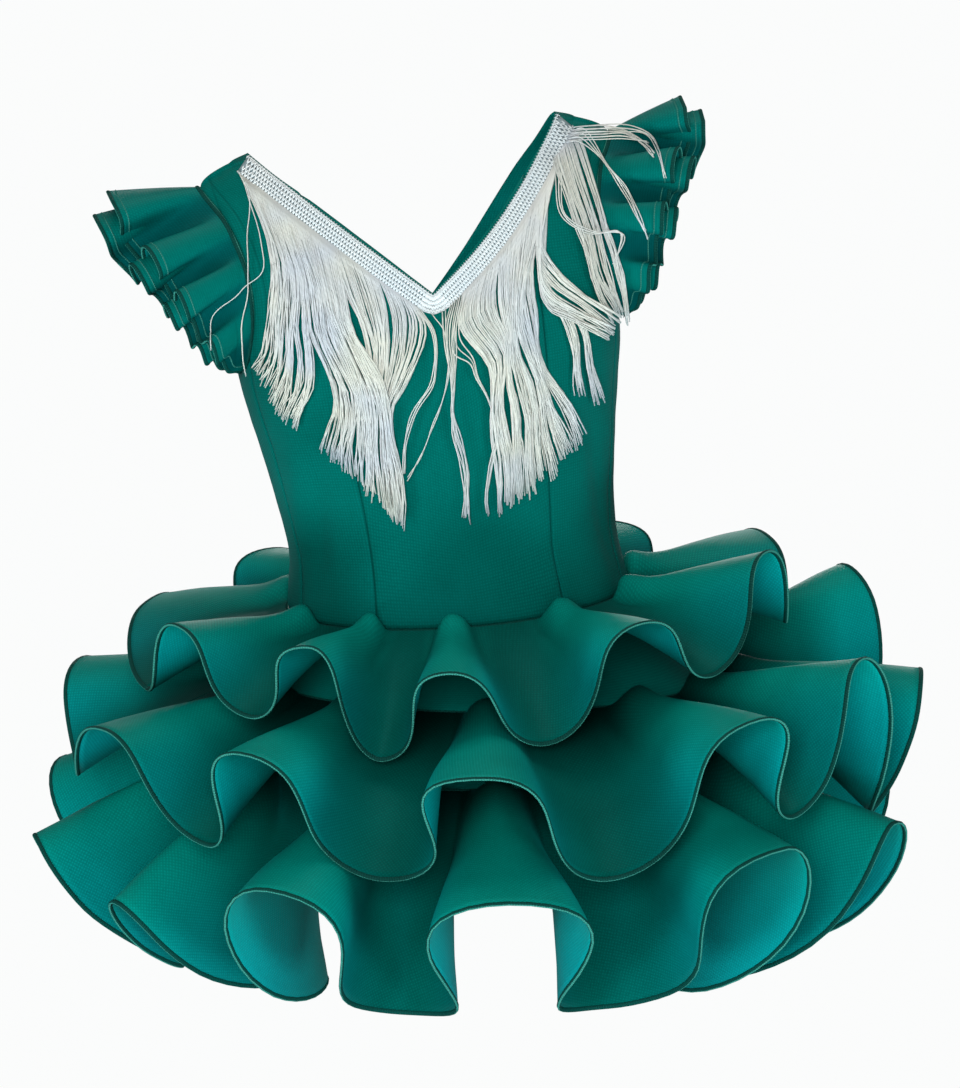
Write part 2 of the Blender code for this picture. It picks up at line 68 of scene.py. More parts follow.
bpy.ops.object.select_all(action="DESELECT")
down = math.radians(CAMERA_DROP)
back_off = Vector((0, -math.cos(down), math.sin(down))) * CAMERA_DISTANCE
bpy.ops.object.camera_add(location=CAMERA_AIM + back_off, rotation=(math.radians(90 - CAMERA_DROP), 0, 0))
camera = bpy.context.object
camera.data.lens = 121.6
camera.data.sensor_width = 36.0
bpy.context.scene.camera = camera

# Studio: a sweep of lit white paper far under the hem, which the camera sees but which throws no light on the
# dress, a soft light in front, a broad one overhead, weak cool ones low in front and on either side, which
# fill the folds, and one behind. The two at the sides leave no shine on the cloth.
FLOOR_HEIGHT = -3.0
FLOOR_LIGHT = (0.960, 0.968, 0.966, 1.0)
Softbox = namedtuple("Softbox", "place aim size power colour shines")
SOFTBOXES = [
    Softbox((-0.2, -2.6, 0.50), (0.05, 0.0, -0.25), 1.0, 44, (1.0, 0.98, 0.94), True),
    Softbox((0.0, 0.2, 2.1), (0.05, 0.0, -0.35), 1.4, 22, (1.0, 0.98, 0.90), True),
    Softbox((0.1, -2.2, -1.30), (0.05, 0.0, -0.45), 0.8, 12, (0.88, 0.96, 1.0), True),
    Softbox((-1.8, -1.5, -1.35), (0.0, 0.0, -0.45), 0.7, 36, (0.80, 0.96, 1.0), False),
    Softbox((1.9, -1.4, -1.35), (0.05, 0.0, -0.45), 0.7, 36, (0.80, 0.96, 1.0), False),
    Softbox((0.2, 2.8, 0.10), (0.05, 0.0, -0.30), 1.4, 18, (1.0, 0.98, 0.94), True),
]

for softbox in SOFTBOXES:
    towards = Vector(softbox.aim) - Vector(softbox.place)
    turned = towards.to_track_quat("-Z", "Y").to_euler()
    bpy.ops.object.light_add(type="AREA", location=softbox.place, rotation=turned)
    bpy.context.object.visible_glossy = softbox.shines
    lamp = bpy.context.object.data
    lamp.size = softbox.size
    lamp.energy = softbox.power
    lamp.color = softbox.colour


def add_node(tree, kind, inputs=None, **settings):
    """One node with its settings; an input is a value or the socket that feeds it."""
    made = tree.nodes.new(kind)
    for name, value in settings.items():
        setattr(made, name, value)
    for name, value in (inputs or {}).items():
        if isinstance(value, bpy.types.NodeSocket):
            tree.links.new(value, made.inputs[name])
        else:
            made.inputs[name].default_value = value
    return made


def new_material(name, values):
    """A material whose shader has these values, which are the same all over, set on its own sockets."""
    made = bpy.data.materials.new(name)
    made.use_nodes = True
    for socket, value in values.items():
        made.node_tree.nodes["Principled BSDF"].inputs[socket].default_value = value
    return made


# The room is as white as the floor to the camera, and a weak cool fill to the cloth
room = bpy.data.worlds.new("studio")
bpy.context.scene.world = room
bpy.context.scene.view_settings.view_transform = "Standard"
room.use_nodes = True
fill = room.node_tree.nodes["Background"]
fill.inputs["Color"].default_value = (0.90, 0.97, 1.0, 1.0)
fill.inputs["Strength"].default_value = 0.20
seen = add_node(room.node_tree, "ShaderNodeBackground", {"Color": FLOOR_LIGHT, "Strength": 1.0})
ray = add_node(room.node_tree, "ShaderNodeLightPath")
either = add_node(
    room.node_tree, "ShaderNodeMixShader",
    {0: ray.outputs["Is Camera Ray"], 1: fill.outputs[0], 2: seen.outputs[0]},
)
room.node_tree.links.new(either.outputs[0], room.node_tree.nodes["World Output"].inputs["Surface"])

bpy.ops.mesh.primitive_plane_add(size=400, location=(0, 0, FLOOR_HEIGHT))
floor = bpy.context.object
floor.name = "studio_floor"
paper = new_material("white studio paper, lit from below", {
    "Base Color": (0.02, 0.02, 0.02, 1.0), "Roughness": 1.0, "Specular IOR Level": 0.0,
    "Emission Color": FLOOR_LIGHT, "Emission Strength": 1.0,
})
floor.data.materials.append(paper)
floor.visible_diffuse = False
floor.visible_glossy = False

# Bodice: four panels of stretch crepe with a fine waffle grain, sewn edge to edge with narrow overlocked
# seams. The princess seams curve from the waist up under the fringe, and the side seams run up into the
# armholes.
CLOTH = 0.0012
SEAM_GAP = 0.0003
WAIST_CENTRE = Vector((0.039, 0.0, -0.308))
LEAN = 7.0
WAIST_TILT = 3.5
TILT_HEIGHT = 0.12
YAW = 7.5
FRONT_DIP = 0.010
Section = namedtuple("Section", "height half_width front_depth back_depth")
SECTIONS = [
    Section(0.000, 0.1160, 0.079, 0.083),
    Section(0.012, 0.1140, 0.076, 0.079),
    Section(0.042, 0.1105, 0.069, 0.070),
    Section(0.092, 0.1165, 0.072, 0.073),
    Section(0.152, 0.1270, 0.076, 0.078),
    Section(0.192, 0.1290, 0.073, 0.077),
    Section(0.232, 0.1300, 0.063, 0.068),
    Section(0.272, 0.1330, 0.043, 0.049),
    Section(0.292, 0.1370, 0.027, 0.031),
    Section(0.3105, 0.1370, 0.0002, 0.0002),
]
SQUARE_FROM = 0.10
SQUARE_SPAN = 0.14
SQUARE_POWER = 0.45
NECK_POINT_X = 0.103
SHOULDER_HEIGHT = 0.3105
SHOULDER_SLOPE = 0.52
FRONT_NECK_HEIGHT = 0.2115
BACK_NECK_HEIGHT = 0.175
NECK_SAG_LEFT = 0.001
NECK_SAG_RIGHT = 0.008
BACK_NECK_SAG = 0.010
PRINCESS_SEAM = 33.0
SIDE_SEAM = 71.0
SEAMS = (-PRINCESS_SEAM, PRINCESS_SEAM, -SIDE_SEAM, SIDE_SEAM)
SEAM_HALF_ANGLE = 0.12
SEAM_DIP = 0.0007
SEAM_DIP_WIDTH = 0.0018
# Painted shade along the seams
SEAM_SHADE = 0.36
SEAM_SHADE_WIDTH = 0.0011
WAIST_DIP = 0.0008
WAIST_DIP_HEIGHT = 0.0025
# Painted shade towards the waist seam, and the panels' lightness
WAIST_SHADE = 0.35
WAIST_SHADE_HEIGHT = 0.012
PANEL_TONE = 1.05
METRES_PER_DEGREE = 0.0020
CHEST_RADIUS = 0.1
ARMHOLE_HEIGHT = 0.230
ARMHOLE_HALF_HEIGHT = 0.0630
ARMHOLE_HALF_WIDTH = 28.0
ARMHOLE_RADIUS = 0.058
ARMHOLE_BAND = 1.24
ARMHOLE_BAND_DROP = 0.02
SMOOTH_BY_SHOULDER = 0.012
SHOULDER_FADE = 0.02
PANEL_ROWS = 96

# Soft creases of the bodice, each a trough or ridge from one point to another in azimuth and height
Crease = namedtuple("Crease", "azimuth_from height_from azimuth_to height_to width depth")
CREASES = [
    Crease(-44, 0.125, -60, 0.020, 0.010, -0.0016),
    Crease(-52, 0.135, -72, 0.040, 0.012, 0.0014),
    Crease(-30, 0.060, -66, 0.004, 0.009, -0.0008),
    Crease(52, 0.120, 66, 0.015, 0.010, -0.0014),
    Crease(60, 0.150, 80, 0.050, 0.012, 0.0012),
    Crease(24, 0.050, 60, 0.006, 0.009, -0.0008),
    Crease(-8, 0.020, -30, 0.002, 0.010, -0.0008),
    Crease(12, 0.024, 26, 0.002, 0.010, -0.0007),
    Crease(150, 0.080, 118, 0.010, 0.012, -0.0016),
    Crease(160, 0.110, 126, 0.040, 0.012, 0.0014),
    Crease(206, 0.085, 240, 0.012, 0.012, -0.0016),
    Crease(198, 0.112, 232, 0.045, 0.012, 0.0014),
    Crease(180, 0.050, 180, 0.006, 0.014, -0.0008),
]


def between(low, high, share):
    return low + (high - low) * share


def ease(share):
    """0 to 1 with a level start and end."""
    return (1 - math.cos(math.pi * min(max(share, 0.0), 1.0))) / 2


def section_value(height, column):
    """One column of SECTIONS at any height; depths are blended as squares, which rounds the shoulder."""
    rows = SECTIONS
    height = min(max(height, rows[0].height), rows[-1].height)
    at = next(i for i in range(len(rows) - 1) if height <= rows[i + 1].height)
    power = 1 if column == "half_width" else 2
    values = [getattr(row, column) ** power for row in rows]
    heights = [row.height for row in rows]

    def slope(i):
        if i in (0, len(rows) - 1):
            return 0.0 if i == 0 else (values[i] - values[i - 1]) / (heights[i] - heights[i - 1])
        return (values[i + 1] - values[i - 1]) / (heights[i + 1] - heights[i - 1])

    span = heights[at + 1] - heights[at]
    t = (height - heights[at]) / span
    value = (
        (2 * t**3 - 3 * t**2 + 1) * values[at]
        + (t**3 - 2 * t**2 + t) * span * slope(at)
        + (3 * t**2 - 2 * t**3) * values[at + 1]
        + (t**3 - t**2) * span * slope(at + 1)
    )
    return max(value, 0.0) ** (1 / power)


def yawed(x, y):
    """A place of the upright bodice, turned about its middle to the way it faces."""
    yaw = math.radians(YAW)
    return x * math.cos(yaw) - y * math.sin(yaw), x * math.sin(yaw) + y * math.cos(yaw)


def body_direction(x, y, z):
    """Turns a direction of the upright bodice to the way it stands."""
    x, y = yawed(x, y)
    lean = math.radians(LEAN)
    return Vector((x * math.cos(lean) - z * math.sin(lean), y, x * math.sin(lean) + z * math.cos(lean)))


def bodice_surface(azimuth, height, forward=0.0):
    """A point of the bodice's inner face, azimuth counted from the centre front."""
    turn = math.radians(azimuth)
    facing = math.cos(turn)
    squareness = ease((height - SQUARE_FROM) / SQUARE_SPAN)
    x = section_value(height, "half_width") * math.sin(turn)
    dropped = height + SHOULDER_SLOPE * max(0.0, abs(x) - NECK_POINT_X) * squareness
    depth = section_value(dropped, "front_depth" if facing > 0 else "back_depth")
    y = -depth * math.copysign(abs(facing) ** between(1.0, SQUARE_POWER, squareness), facing) - forward
    x, y = yawed(x, y)
    tilt = math.radians(between(WAIST_TILT, LEAN, ease(height / TILT_HEIGHT)))
    dip = FRONT_DIP * (1 + facing) / 2 * (1 - ease(height / TILT_HEIGHT))
    lean = math.radians(LEAN)
    centre = WAIST_CENTRE + height * Vector((-math.sin(lean), 0, math.cos(lean)))
    return centre + Vector((x * math.cos(tilt), y, x * math.sin(tilt) - dip))


def bodice_normal(azimuth, height):
    """The direction straight out of the bodice there."""
    across = bodice_surface(azimuth + 0.5, height) - bodice_surface(azimuth - 0.5, height)
    up = bodice_surface(azimuth, height) - bodice_surface(azimuth, height - 0.0005)
    return across.cross(up).normalized()


def degrees_apart(azimuth, other):
    """From one azimuth to another the short way round."""
    return (azimuth - other + 180) % 360 - 180


def crease_relief(azimuth, height):
    """How far the soft creases lift or sink the bodice there."""
    relief = 0.0
    for crease in CREASES:
        run = (crease.azimuth_to - crease.azimuth_from) * METRES_PER_DEGREE
        along = Vector((run, crease.height_to - crease.height_from))
        across = degrees_apart(azimuth, crease.azimuth_from) * METRES_PER_DEGREE
        place = Vector((across, height - crease.height_from))
        share = min(max(place.dot(along) / along.length_squared, 0.0), 1.0)
        fading = math.exp(-(((place - along * share).length / crease.width) ** 2))
        relief += crease.depth * math.sin(math.pi * (0.15 + 0.7 * share)) * fading
    return relief


def bodice_point(azimuth, height, out):
    return bodice_surface(azimuth, height) + bodice_normal(azimuth, height) * out


def azimuth_of(x, height):
    """The azimuth of the point x across the front at this height."""
    return math.degrees(math.asin(max(-1.0, min(1.0, x / section_value(height, "half_width")))))


def neckline(x, lowest, sag):
    """Height at x of a neckline that rises from its lowest point to the shoulder."""
    share = min(abs(x) / NECK_POINT_X, 1.0)
    return between(lowest, SHOULDER_HEIGHT, share) - sag * math.sin(math.pi * share)


def neck_height(x):
    """Height of the front neckline at x."""
    return neckline(x, FRONT_NECK_HEIGHT, NECK_SAG_RIGHT if x > 0 else NECK_SAG_LEFT)


def armhole_edge(turn):
    """Azimuth and height of the armhole's edge; turn 0 is its front, 90 the shoulder, 270 under the arm."""
    angle = math.radians(turn)
    azimuth = 90 - ARMHOLE_HALF_WIDTH * math.cos(angle)
    return azimuth, ARMHOLE_HEIGHT + ARMHOLE_HALF_HEIGHT * math.sin(angle)


def armhole_turn_at(azimuth):
    """Where the armhole's lower front edge passes this azimuth."""
    return -math.degrees(math.acos((90 - azimuth) / ARMHOLE_HALF_WIDTH))


def even_steps(lengths, count):
    """Equal steps along these running lengths: for each, the point before it and the share of the way on."""
    steps = []
    for step in range(count + 1):
        wanted = lengths[-1] * step / count
        at = next(i for i in range(len(lengths) - 1) if wanted <= lengths[i + 1] + 1e-9)
        steps.append((at, (wanted - lengths[at]) / max(lengths[at + 1] - lengths[at], 1e-9)))
    return steps


def even_points(path, count):
    """Points at equal steps along a path of (azimuth, height) pairs."""
    lengths = [0.0]
    for first, second in zip(path, path[1:]):
        across = math.radians(second[0] - first[0]) * CHEST_RADIUS
        lengths.append(lengths[-1] + math.hypot(across, second[1] - first[1]))
    return [
        tuple(between(a, b, share) for a, b in zip(path[at], path[at + 1]))
        for at, share in even_steps(lengths, count)
    ]


def to_seam(azimuth, height):
    """Distance to the nearest seam, the one of the armhole's band among them, in metres."""
    nearest = min(abs(degrees_apart(azimuth, seam)) for seam in SEAMS) * METRES_PER_DEGREE
    from_side = 90 - abs(degrees_apart(azimuth, 0))
    ring = math.hypot(from_side / ARMHOLE_HALF_WIDTH, (height - ARMHOLE_HEIGHT) / ARMHOLE_HALF_HEIGHT)
    if height > ARMHOLE_HEIGHT - ARMHOLE_BAND_DROP:
        nearest = min(nearest, abs(ring - ARMHOLE_BAND) * ARMHOLE_RADIUS)
    return nearest


def panel_painted_shade(azimuth, height):
    """Painted shade of a panel: darker in a seam and towards the waist seam."""
    in_seam = SEAM_SHADE * math.exp(-((to_seam(azimuth, height) / SEAM_SHADE_WIDTH) ** 2))
    return (PANEL_TONE - in_seam) * (1 - WAIST_SHADE * math.exp(-height / WAIST_SHADE_HEIGHT)), 1.0


def panel_point(azimuth, height, forward):
    """A point of a panel, which dips at its seams and carries the creases."""
    place = bodice_surface(azimuth, height, forward)
    smooth_from = SHOULDER_HEIGHT - SMOOTH_BY_SHOULDER
    if height > smooth_from:
        return place
    dip = -SEAM_DIP * math.exp(-((to_seam(azimuth, height) / SEAM_DIP_WIDTH) ** 2))
    dip -= WAIST_DIP * math.exp(-((height / WAIST_DIP_HEIGHT) ** 2))
    waver = 0.0008 * noise.noise(place * 22.0) + 0.0003 * noise.noise(place * 70.0)
    fade = min(1.0, (smooth_from - height) / SHOULDER_FADE)
    return place + bodice_normal(azimuth, height) * (dip + waver + crease_relief(azimuth, height)) * fade


def up_from_waist(tops, steps):
    """Rows of (azimuth, height) places from the waist up to these tops."""
    return [[(azimuth, top * step / steps) for azimuth, top in tops] for step in range(steps + 1)]


def across_between(inner, outer, columns):
    """Rows of (azimuth, height) places between two edges of equal count."""
    return [
        [tuple(between(a, b, column / columns) for a, b in zip(low, high)) for column in range(columns + 1)]
        for low, high in zip(inner, outer)
    ]


def panel_grid(places, forward):
    """A panel's points at rows of places, and its painted shade there."""
    rows = [[panel_point(azimuth, height, forward) for azimuth, height in row] for row in places]
    return rows, [[panel_painted_shade(azimuth, height) for azimuth, height in row] for row in places]


def linear(code):
    """An sRGB hex colour as the linear values that a shader takes."""
    values = [int(code[i : i + 2], 16) / 255 for i in (1, 3, 5)]
    return (*[v / 12.92 if v <= 0.04045 else ((v + 0.055) / 1.055) ** 2.4 for v in values], 1.0)


def wave_scale(spacing):
    """The scale that makes the bands of a wave texture lie this far apart, in metres."""
    return 2 * math.pi / 20 / spacing


def crepe_material(name, deep, bright):
    """Polyester stretch crepe: a matt waffle grain of about a millimetre, drawn at 1.9 mm so that it shows,
    with the soft cool sheen of its fine filaments."""
    made = new_material(name, {
        "Roughness": 0.52, "IOR": 1.28, "Specular Tint": linear("#14C8D0"),
        "Sheen Weight": 0.04, "Sheen Roughness": 0.35, "Sheen Tint": linear("#1FB0B4"),
    })
    tree = made.node_tree
    shader = tree.nodes["Principled BSDF"]
    spot = add_node(tree, "ShaderNodeTexCoord")
    cut, body = spot.outputs["UV"], spot.outputs["Object"]
    crumb = add_node(tree, "ShaderNodeTexNoise", {"Vector": cut, "Scale": 420.0, "Detail": 2.0})
    yarns = {"Vector": cut, "Scale": wave_scale(0.0019), "Distortion": 1.2, "Detail": 1.0}
    warp = add_node(tree, "ShaderNodeTexWave", yarns, bands_direction="X")
    weft = add_node(tree, "ShaderNodeTexWave", yarns, bands_direction="Y")
    waffle = add_node(
        tree, "ShaderNodeMath", {0: warp.outputs["Fac"], 1: weft.outputs["Fac"]}, operation="MULTIPLY"
    )
    grain = {0: crumb.outputs["Fac"], 1: 0.7, 2: waffle.outputs[0]}
    height = add_node(tree, "ShaderNodeMath", grain, operation="MULTIPLY_ADD")
    patches = add_node(
        tree, "ShaderNodeTexNoise", {"Vector": body, "Scale": 14.0, "Detail": 3.0, "Roughness": 0.55}
    )
    broad = add_node(tree, "ShaderNodeMath", {0: patches.outputs["Fac"], 1: 0.55}, operation="MULTIPLY")
    tone = add_node(
        tree, "ShaderNodeMath", {0: height.outputs[0], 1: 0.34, 2: broad.outputs[0]},
        operation="MULTIPLY_ADD", use_clamp=True,
    )
    ramp = add_node(tree, "ShaderNodeValToRGB", {"Fac": tone.outputs[0]})
    for element, colour, position in zip(ramp.color_ramp.elements, (deep, bright), (0.10, 0.95)):
        element.color, element.position = linear(colour), position
    # The colour is multiplied by the painted light and shade of the attribute "fold"
    fold = add_node(tree, "ShaderNodeAttribute", attribute_name="fold")
    painted_light_colour = add_node(
        tree, "ShaderNodeVectorMath", {0: ramp.outputs["Color"], 1: fold.outputs["Color"]},
        operation="MULTIPLY",
    )
    bump = add_node(
        tree, "ShaderNodeBump", {"Height": height.outputs[0], "Strength": 0.24, "Distance": 0.0004}
    )
    tree.links.new(painted_light_colour.outputs[0], shader.inputs["Base Color"])
    tree.links.new(bump.outputs["Normal"], shader.inputs["Normal"])
    return made


teal_crepe = crepe_material("teal stretch crepe", "#00443D", "#027068")
# The inner faces are the same crepe painted lighter: painted light on the inner faces of the flutes and
# ruffles
teal_crepe_inside_painted_lighter = crepe_material("teal stretch crepe, wrong side", "#00544E", "#037E78")


def running_lengths(points):
    """How far along a line of points each of them lies."""
    lengths = [0.0]
    for first, second in zip(points, points[1:]):
        lengths.append(lengths[-1] + (second - first).length)
    return lengths


def laid_flat(rows):
    """Where each point of a grid lies on the spread-out cloth, from the middle of its first row."""
    flat, rise, middle = [], 0.0, len(rows[0]) // 2
    for i, row in enumerate(rows):
        rise += (row[middle] - rows[i - 1][middle]).length if i else 0.0
        runs = running_lengths(row)
        flat.append([(run - runs[middle], rise) for run in runs])
    return flat


def finished_piece(name, build, materials):
    """Turns a mesh under work into a piece of the scene, shaded smooth and in these materials."""
    mesh = bpy.data.meshes.new(name)
    build.to_mesh(mesh)
    build.free()
    for material in materials:
        mesh.materials.append(material)
    mesh.shade_smooth()
    piece = bpy.data.objects.new(name, mesh)
    bpy.context.scene.collection.objects.link(piece)
    return piece


def cloth_piece(name, grids, turned=False, closed=False, offset=0.0, flat=None):
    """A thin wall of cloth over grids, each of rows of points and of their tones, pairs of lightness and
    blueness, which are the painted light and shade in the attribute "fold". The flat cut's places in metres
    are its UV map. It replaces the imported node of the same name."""
    shell = bmesh.new()
    layer = shell.loops.layers.uv.new("cut")
    painted_light_layer = shell.verts.layers.float_color.new("fold")
    for rows, tones in grids:
        places = flat or laid_flat(rows)
        placed = [[shell.verts.new(point) for point in row] for row in rows]
        for corners, shades in zip(placed, tones):
            for corner, (light, blue) in zip(corners, shades):
                corner[painted_light_layer] = (light, light, light * blue, 1.0)
        width = len(rows[0])
        for i in range(len(rows) - 1):
            for j in range(width if closed else width - 1):
                k = (j + 1) % width
                at = [(i, j), (i, k), (i + 1, k), (i + 1, j)]
                if turned:
                    at.reverse()
                face = shell.faces.new([placed[a][b] for a, b in at])
                for loop, (a, b) in zip(face.loops, at):
                    loop[layer].uv = places[a][b]
    bmesh.ops.remove_doubles(shell, verts=shell.verts, dist=0.00001)
    piece = finished_piece(name + "_cloth", shell, (teal_crepe, teal_crepe_inside_painted_lighter))
    bpy.ops.object.select_all(action="DESELECT")
    piece.select_set(True)
    bpy.context.view_layer.objects.active = piece
    wall = piece.modifiers.new("wall", "SOLIDIFY")
    wall.thickness = CLOTH
    wall.offset = offset
    wall.material_offset = 1
    bpy.ops.object.modifier_apply(modifier=wall.name)
    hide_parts(name)
    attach(piece, "root")
    return piece


edge = PRINCESS_SEAM - SEAM_HALF_ANGLE
azimuths = [between(-edge, edge, column / 96) for column in range(97)]
half = section_value(SHOULDER_HEIGHT, "half_width")
tops = [(azimuth, neck_height(half * math.sin(math.radians(azimuth)))) for azimuth in azimuths]
grid = panel_grid(up_from_waist(tops, 72), SEAM_GAP / 2)
front_centre = cloth_piece("bodice_front_centre", [grid], offset=1)

for side, hand in ((-1, "left"), (1, "right")):
    edge = PRINCESS_SEAM + SEAM_HALF_ANGLE
    inner = [(edge, 0.0)]
    for step in range(25):
        x = between(half * math.sin(math.radians(edge)), NECK_POINT_X, step / 24)
        inner.append((azimuth_of(x, SHOULDER_HEIGHT), neck_height(side * x)))
    seam = SIDE_SEAM - SEAM_HALF_ANGLE / 2
    start = armhole_turn_at(seam)
    outer = [(seam, 0.0)] + [armhole_edge(between(start, 90, step / 48)) for step in range(49)]
    inner, outer = even_points(inner, PANEL_ROWS), even_points(outer, PANEL_ROWS)
    if side < 0:
        inner, outer = [(-a, h) for a, h in outer], [(-a, h) for a, h in inner]
    grid = panel_grid(across_between(inner, outer, 48), SEAM_GAP / 2)
    panel = cloth_piece(f"bodice_front_side_{hand}", [grid], offset=1)

seam = SIDE_SEAM + SEAM_HALF_ANGLE / 2
underarm_turn = armhole_turn_at(seam)
tops = [armhole_edge(between(underarm_turn, -90, step / 16)) for step in range(17)]
underarm = tops[-1][1]
tops += [(between(90, 180, step / 40), underarm) for step in range(1, 41)]
tops += [(360 - azimuth, height) for azimuth, height in tops[-2::-1]]
neck = [(180, underarm), (180, BACK_NECK_HEIGHT)]
for step in range(1, 33):
    x = NECK_POINT_X * step / 32
    neck.append((180 - azimuth_of(x, SHOULDER_HEIGHT), neckline(x, BACK_NECK_HEIGHT, BACK_NECK_SAG)))
armhole = [armhole_edge(between(270, 90, step / 48)) for step in range(49)]
inner, outer = even_points(armhole, 56), even_points(neck, 56)
mirrored = [(360 - a, h) for a, h in outer], [(360 - a, h) for a, h in inner]
grids = [up_from_waist(tops, 40), across_between(inner, outer, 40), across_between(*mirrored, 40)]
back = cloth_piece("bodice_back", [panel_grid(places, -SEAM_GAP / 2) for places in grids], offset=1)

# Flounces: three circular flounces of the same crepe, cut as rings, so that the short inner edge is sewn in
# flat and the long hem falls in deep flutes. Each is joined from a front and a back length in the valleys of
# two folds.
Ring = namedtuple("Ring", "x half_width half_depth z depth_of_cloth")
WAIST_FLOUNCE_DEPTH = 0.110
BASE_DROP = 0.012
MIDDLE_RING = Ring(0.058, 0.155, 0.117, -0.366, 0.140)
LOWER_RING = Ring(0.050, 0.170, 0.140, -0.412, 0.145)
FLOUNCE_STAND_OFF = 0.0011
FLOUNCE_BOW = 0.05
Fold = namedtuple("Fold", "crest crest_droop valley valley_droop roll_in roll_out")
UPPER_FOLDS = [
    Fold(0, 2, 18, 33, 0.004, 0.008),
    Fold(35, -7, 52, 19, 0.006, 0.008),
    Fold(69, -18, 85, 15, 0.008, 0.008),
    Fold(110, -7, 130, 24, 0.010, 0.010),
    Fold(150, -2, 168, 26, 0.010, 0.010),
    Fold(186, -2, 204, 26, 0.010, 0.010),
    Fold(222, -2, 237, 24, 0.010, 0.008),
    Fold(252, 2, 290, 18, 0.006, 0.006),
    Fold(304, -10, 322, 18, 0.006, 0.008),
    Fold(334, -8, 347, 35, 0.004, 0.008),
]
MIDDLE_FOLDS = [
    Fold(0, 2, 17, 36, 0.008, 0.014),
    Fold(37, -8, 45, 22, 0.012, 0.006),
    Fold(58, -17, 72, 34, 0.008, 0.008),
    Fold(87, -1, 101, 30, 0.010, 0.008),
    Fold(115, -20, 132, 34, 0.008, 0.010),
    Fold(150, -4, 168, 33, 0.014, 0.014),
    Fold(186, -2, 203, 33, 0.014, 0.014),
    Fold(220, -2, 238, 33, 0.014, 0.010),
    Fold(257, 4, 277, 27, 0.008, 0.006),
    Fold(302, 2, 318, 31, 0.006, 0.010),
    Fold(327, 0, 345, 35, 0.010, 0.020),
]
LOWER_FOLDS = [
    Fold(4, 13, 22, 70, 0.026, 0.030),
    Fold(40, 6, 50, 98, 0.012, 0.006),
    Fold(61, 9, 84, 74, 0.006, 0.012),
    Fold(115, 14, 132, 78, 0.014, 0.014),
    Fold(150, 16, 168, 78, 0.014, 0.014),
    Fold(186, 16, 203, 78, 0.014, 0.014),
    Fold(220, 16, 237, 78, 0.014, 0.014),
    Fold(253, 16, 270, 74, 0.012, 0.006),
    Fold(286, 20, 299, 68, 0.006, 0.004),
    Fold(308, 27, 318, 98, 0.008, 0.014),
    Fold(335, 13, 348, 72, 0.024, 0.026),
]
COLUMNS_PER_FOLD = 44
FLOUNCE_ROWS = 28
ROW_CROWDING = 1.3
CREST_SHARPNESS = 0.40
CREST_OPEN_AT = 0.9
CREST_ROUND = 0.10
CREST_ROUND_TO = 0.6
CREST_PEAK = 0.0110
CREST_PEAK_AT = 0.07
CREST_PEAK_WIDTH = 0.30
ROLL_AT_CREST = 1.3
ROLL_LOSS = 0.9
FOOT_AT = 0.42
FOOT_WIDTH = 0.12
FOOT_DEPTH = 0.0024
FOOT_FULL_AT = 0.15
FOOT_END = 0.75
SETTLED_COLUMNS = 20
EDGE_OVERHANG = 0.0010
# Painted light and shade of the flounces, carried in the attribute "fold": a painted highlight on the crests,
# painted shade in the valleys and along the crest feet, a lighter and bluer painted sheen on the flanks by
# the hem, and painted shadow where a flounce above covers it
CREST_TONE = 2.00
VALLEY_TONE = 0.68
VALLEY_BREADTH = 1.3
FLANK_TONE = 0.58
PAINTED_LIGHT_BLUE = 0.96
FLANK_BLUE = 0.22
FOOT_TONE = 0.40
COVERED_TONE = 0.10


def waist_edge(azimuth, out, down):
    """The waist seam seen from the skirt, azimuth counted from the front of the skirt, not of the bodice."""
    return bodice_point(azimuth - YAW, 0.0, out) - Vector((0, 0, down))


def ring_edge(ring, azimuth, out):
    turn = math.radians(azimuth)
    x = ring.x + (ring.half_width + out) * math.sin(turn)
    return Vector((x, -(ring.half_depth + out) * math.cos(turn), ring.z))


def blunted(from_crest, share):
    """The same span from 0 to 1, but level at the crest near the seam, where a narrow crest stays round."""
    rounding = CREST_ROUND * (1 - ease(share / CREST_ROUND_TO))
    return (math.hypot(from_crest, rounding) - rounding) / (math.hypot(1.0, rounding) - rounding)


def fold_state(folds, turn, share=1.0):
    """Azimuth, droop and roll of a flounce, and how far the place is from a crest; turn counts folds, whole
    at a crest and half-way at a valley. Near the seam the crests are narrow and the valleys broad."""
    index = int(turn) % len(folds)
    here, following = folds[index], folds[(index + 1) % len(folds)]
    next_crest = following.crest + (360 if index == len(folds) - 1 else 0)
    part = (turn - int(turn)) * 2
    if part < 1:
        from_crest, crest_droop, roll = part, here.crest_droop, here.roll_in
        azimuth = between(here.crest, here.valley, part)
    else:
        part -= 1
        from_crest, crest_droop, roll = 1 - part, following.crest_droop, here.roll_out
        azimuth = between(here.valley, next_crest, part)
    sharpness = between(CREST_SHARPNESS, 1.0, ease(share / CREST_OPEN_AT))
    droop = between(crest_droop, here.valley_droop, ease(blunted(from_crest, share) ** sharpness))
    roll = roll * (ROLL_AT_CREST - ROLL_LOSS * from_crest) * math.sin(2 * math.pi * part)
    return azimuth, droop, roll, from_crest


def crest_foot(from_crest, share):
    """1 in the crease along either foot of a crest, which runs out three quarters of the way to the hem."""
    return math.exp(-(((from_crest - FOOT_AT) / FOOT_WIDTH) ** 2)) * (1 - ease(share / FOOT_END))


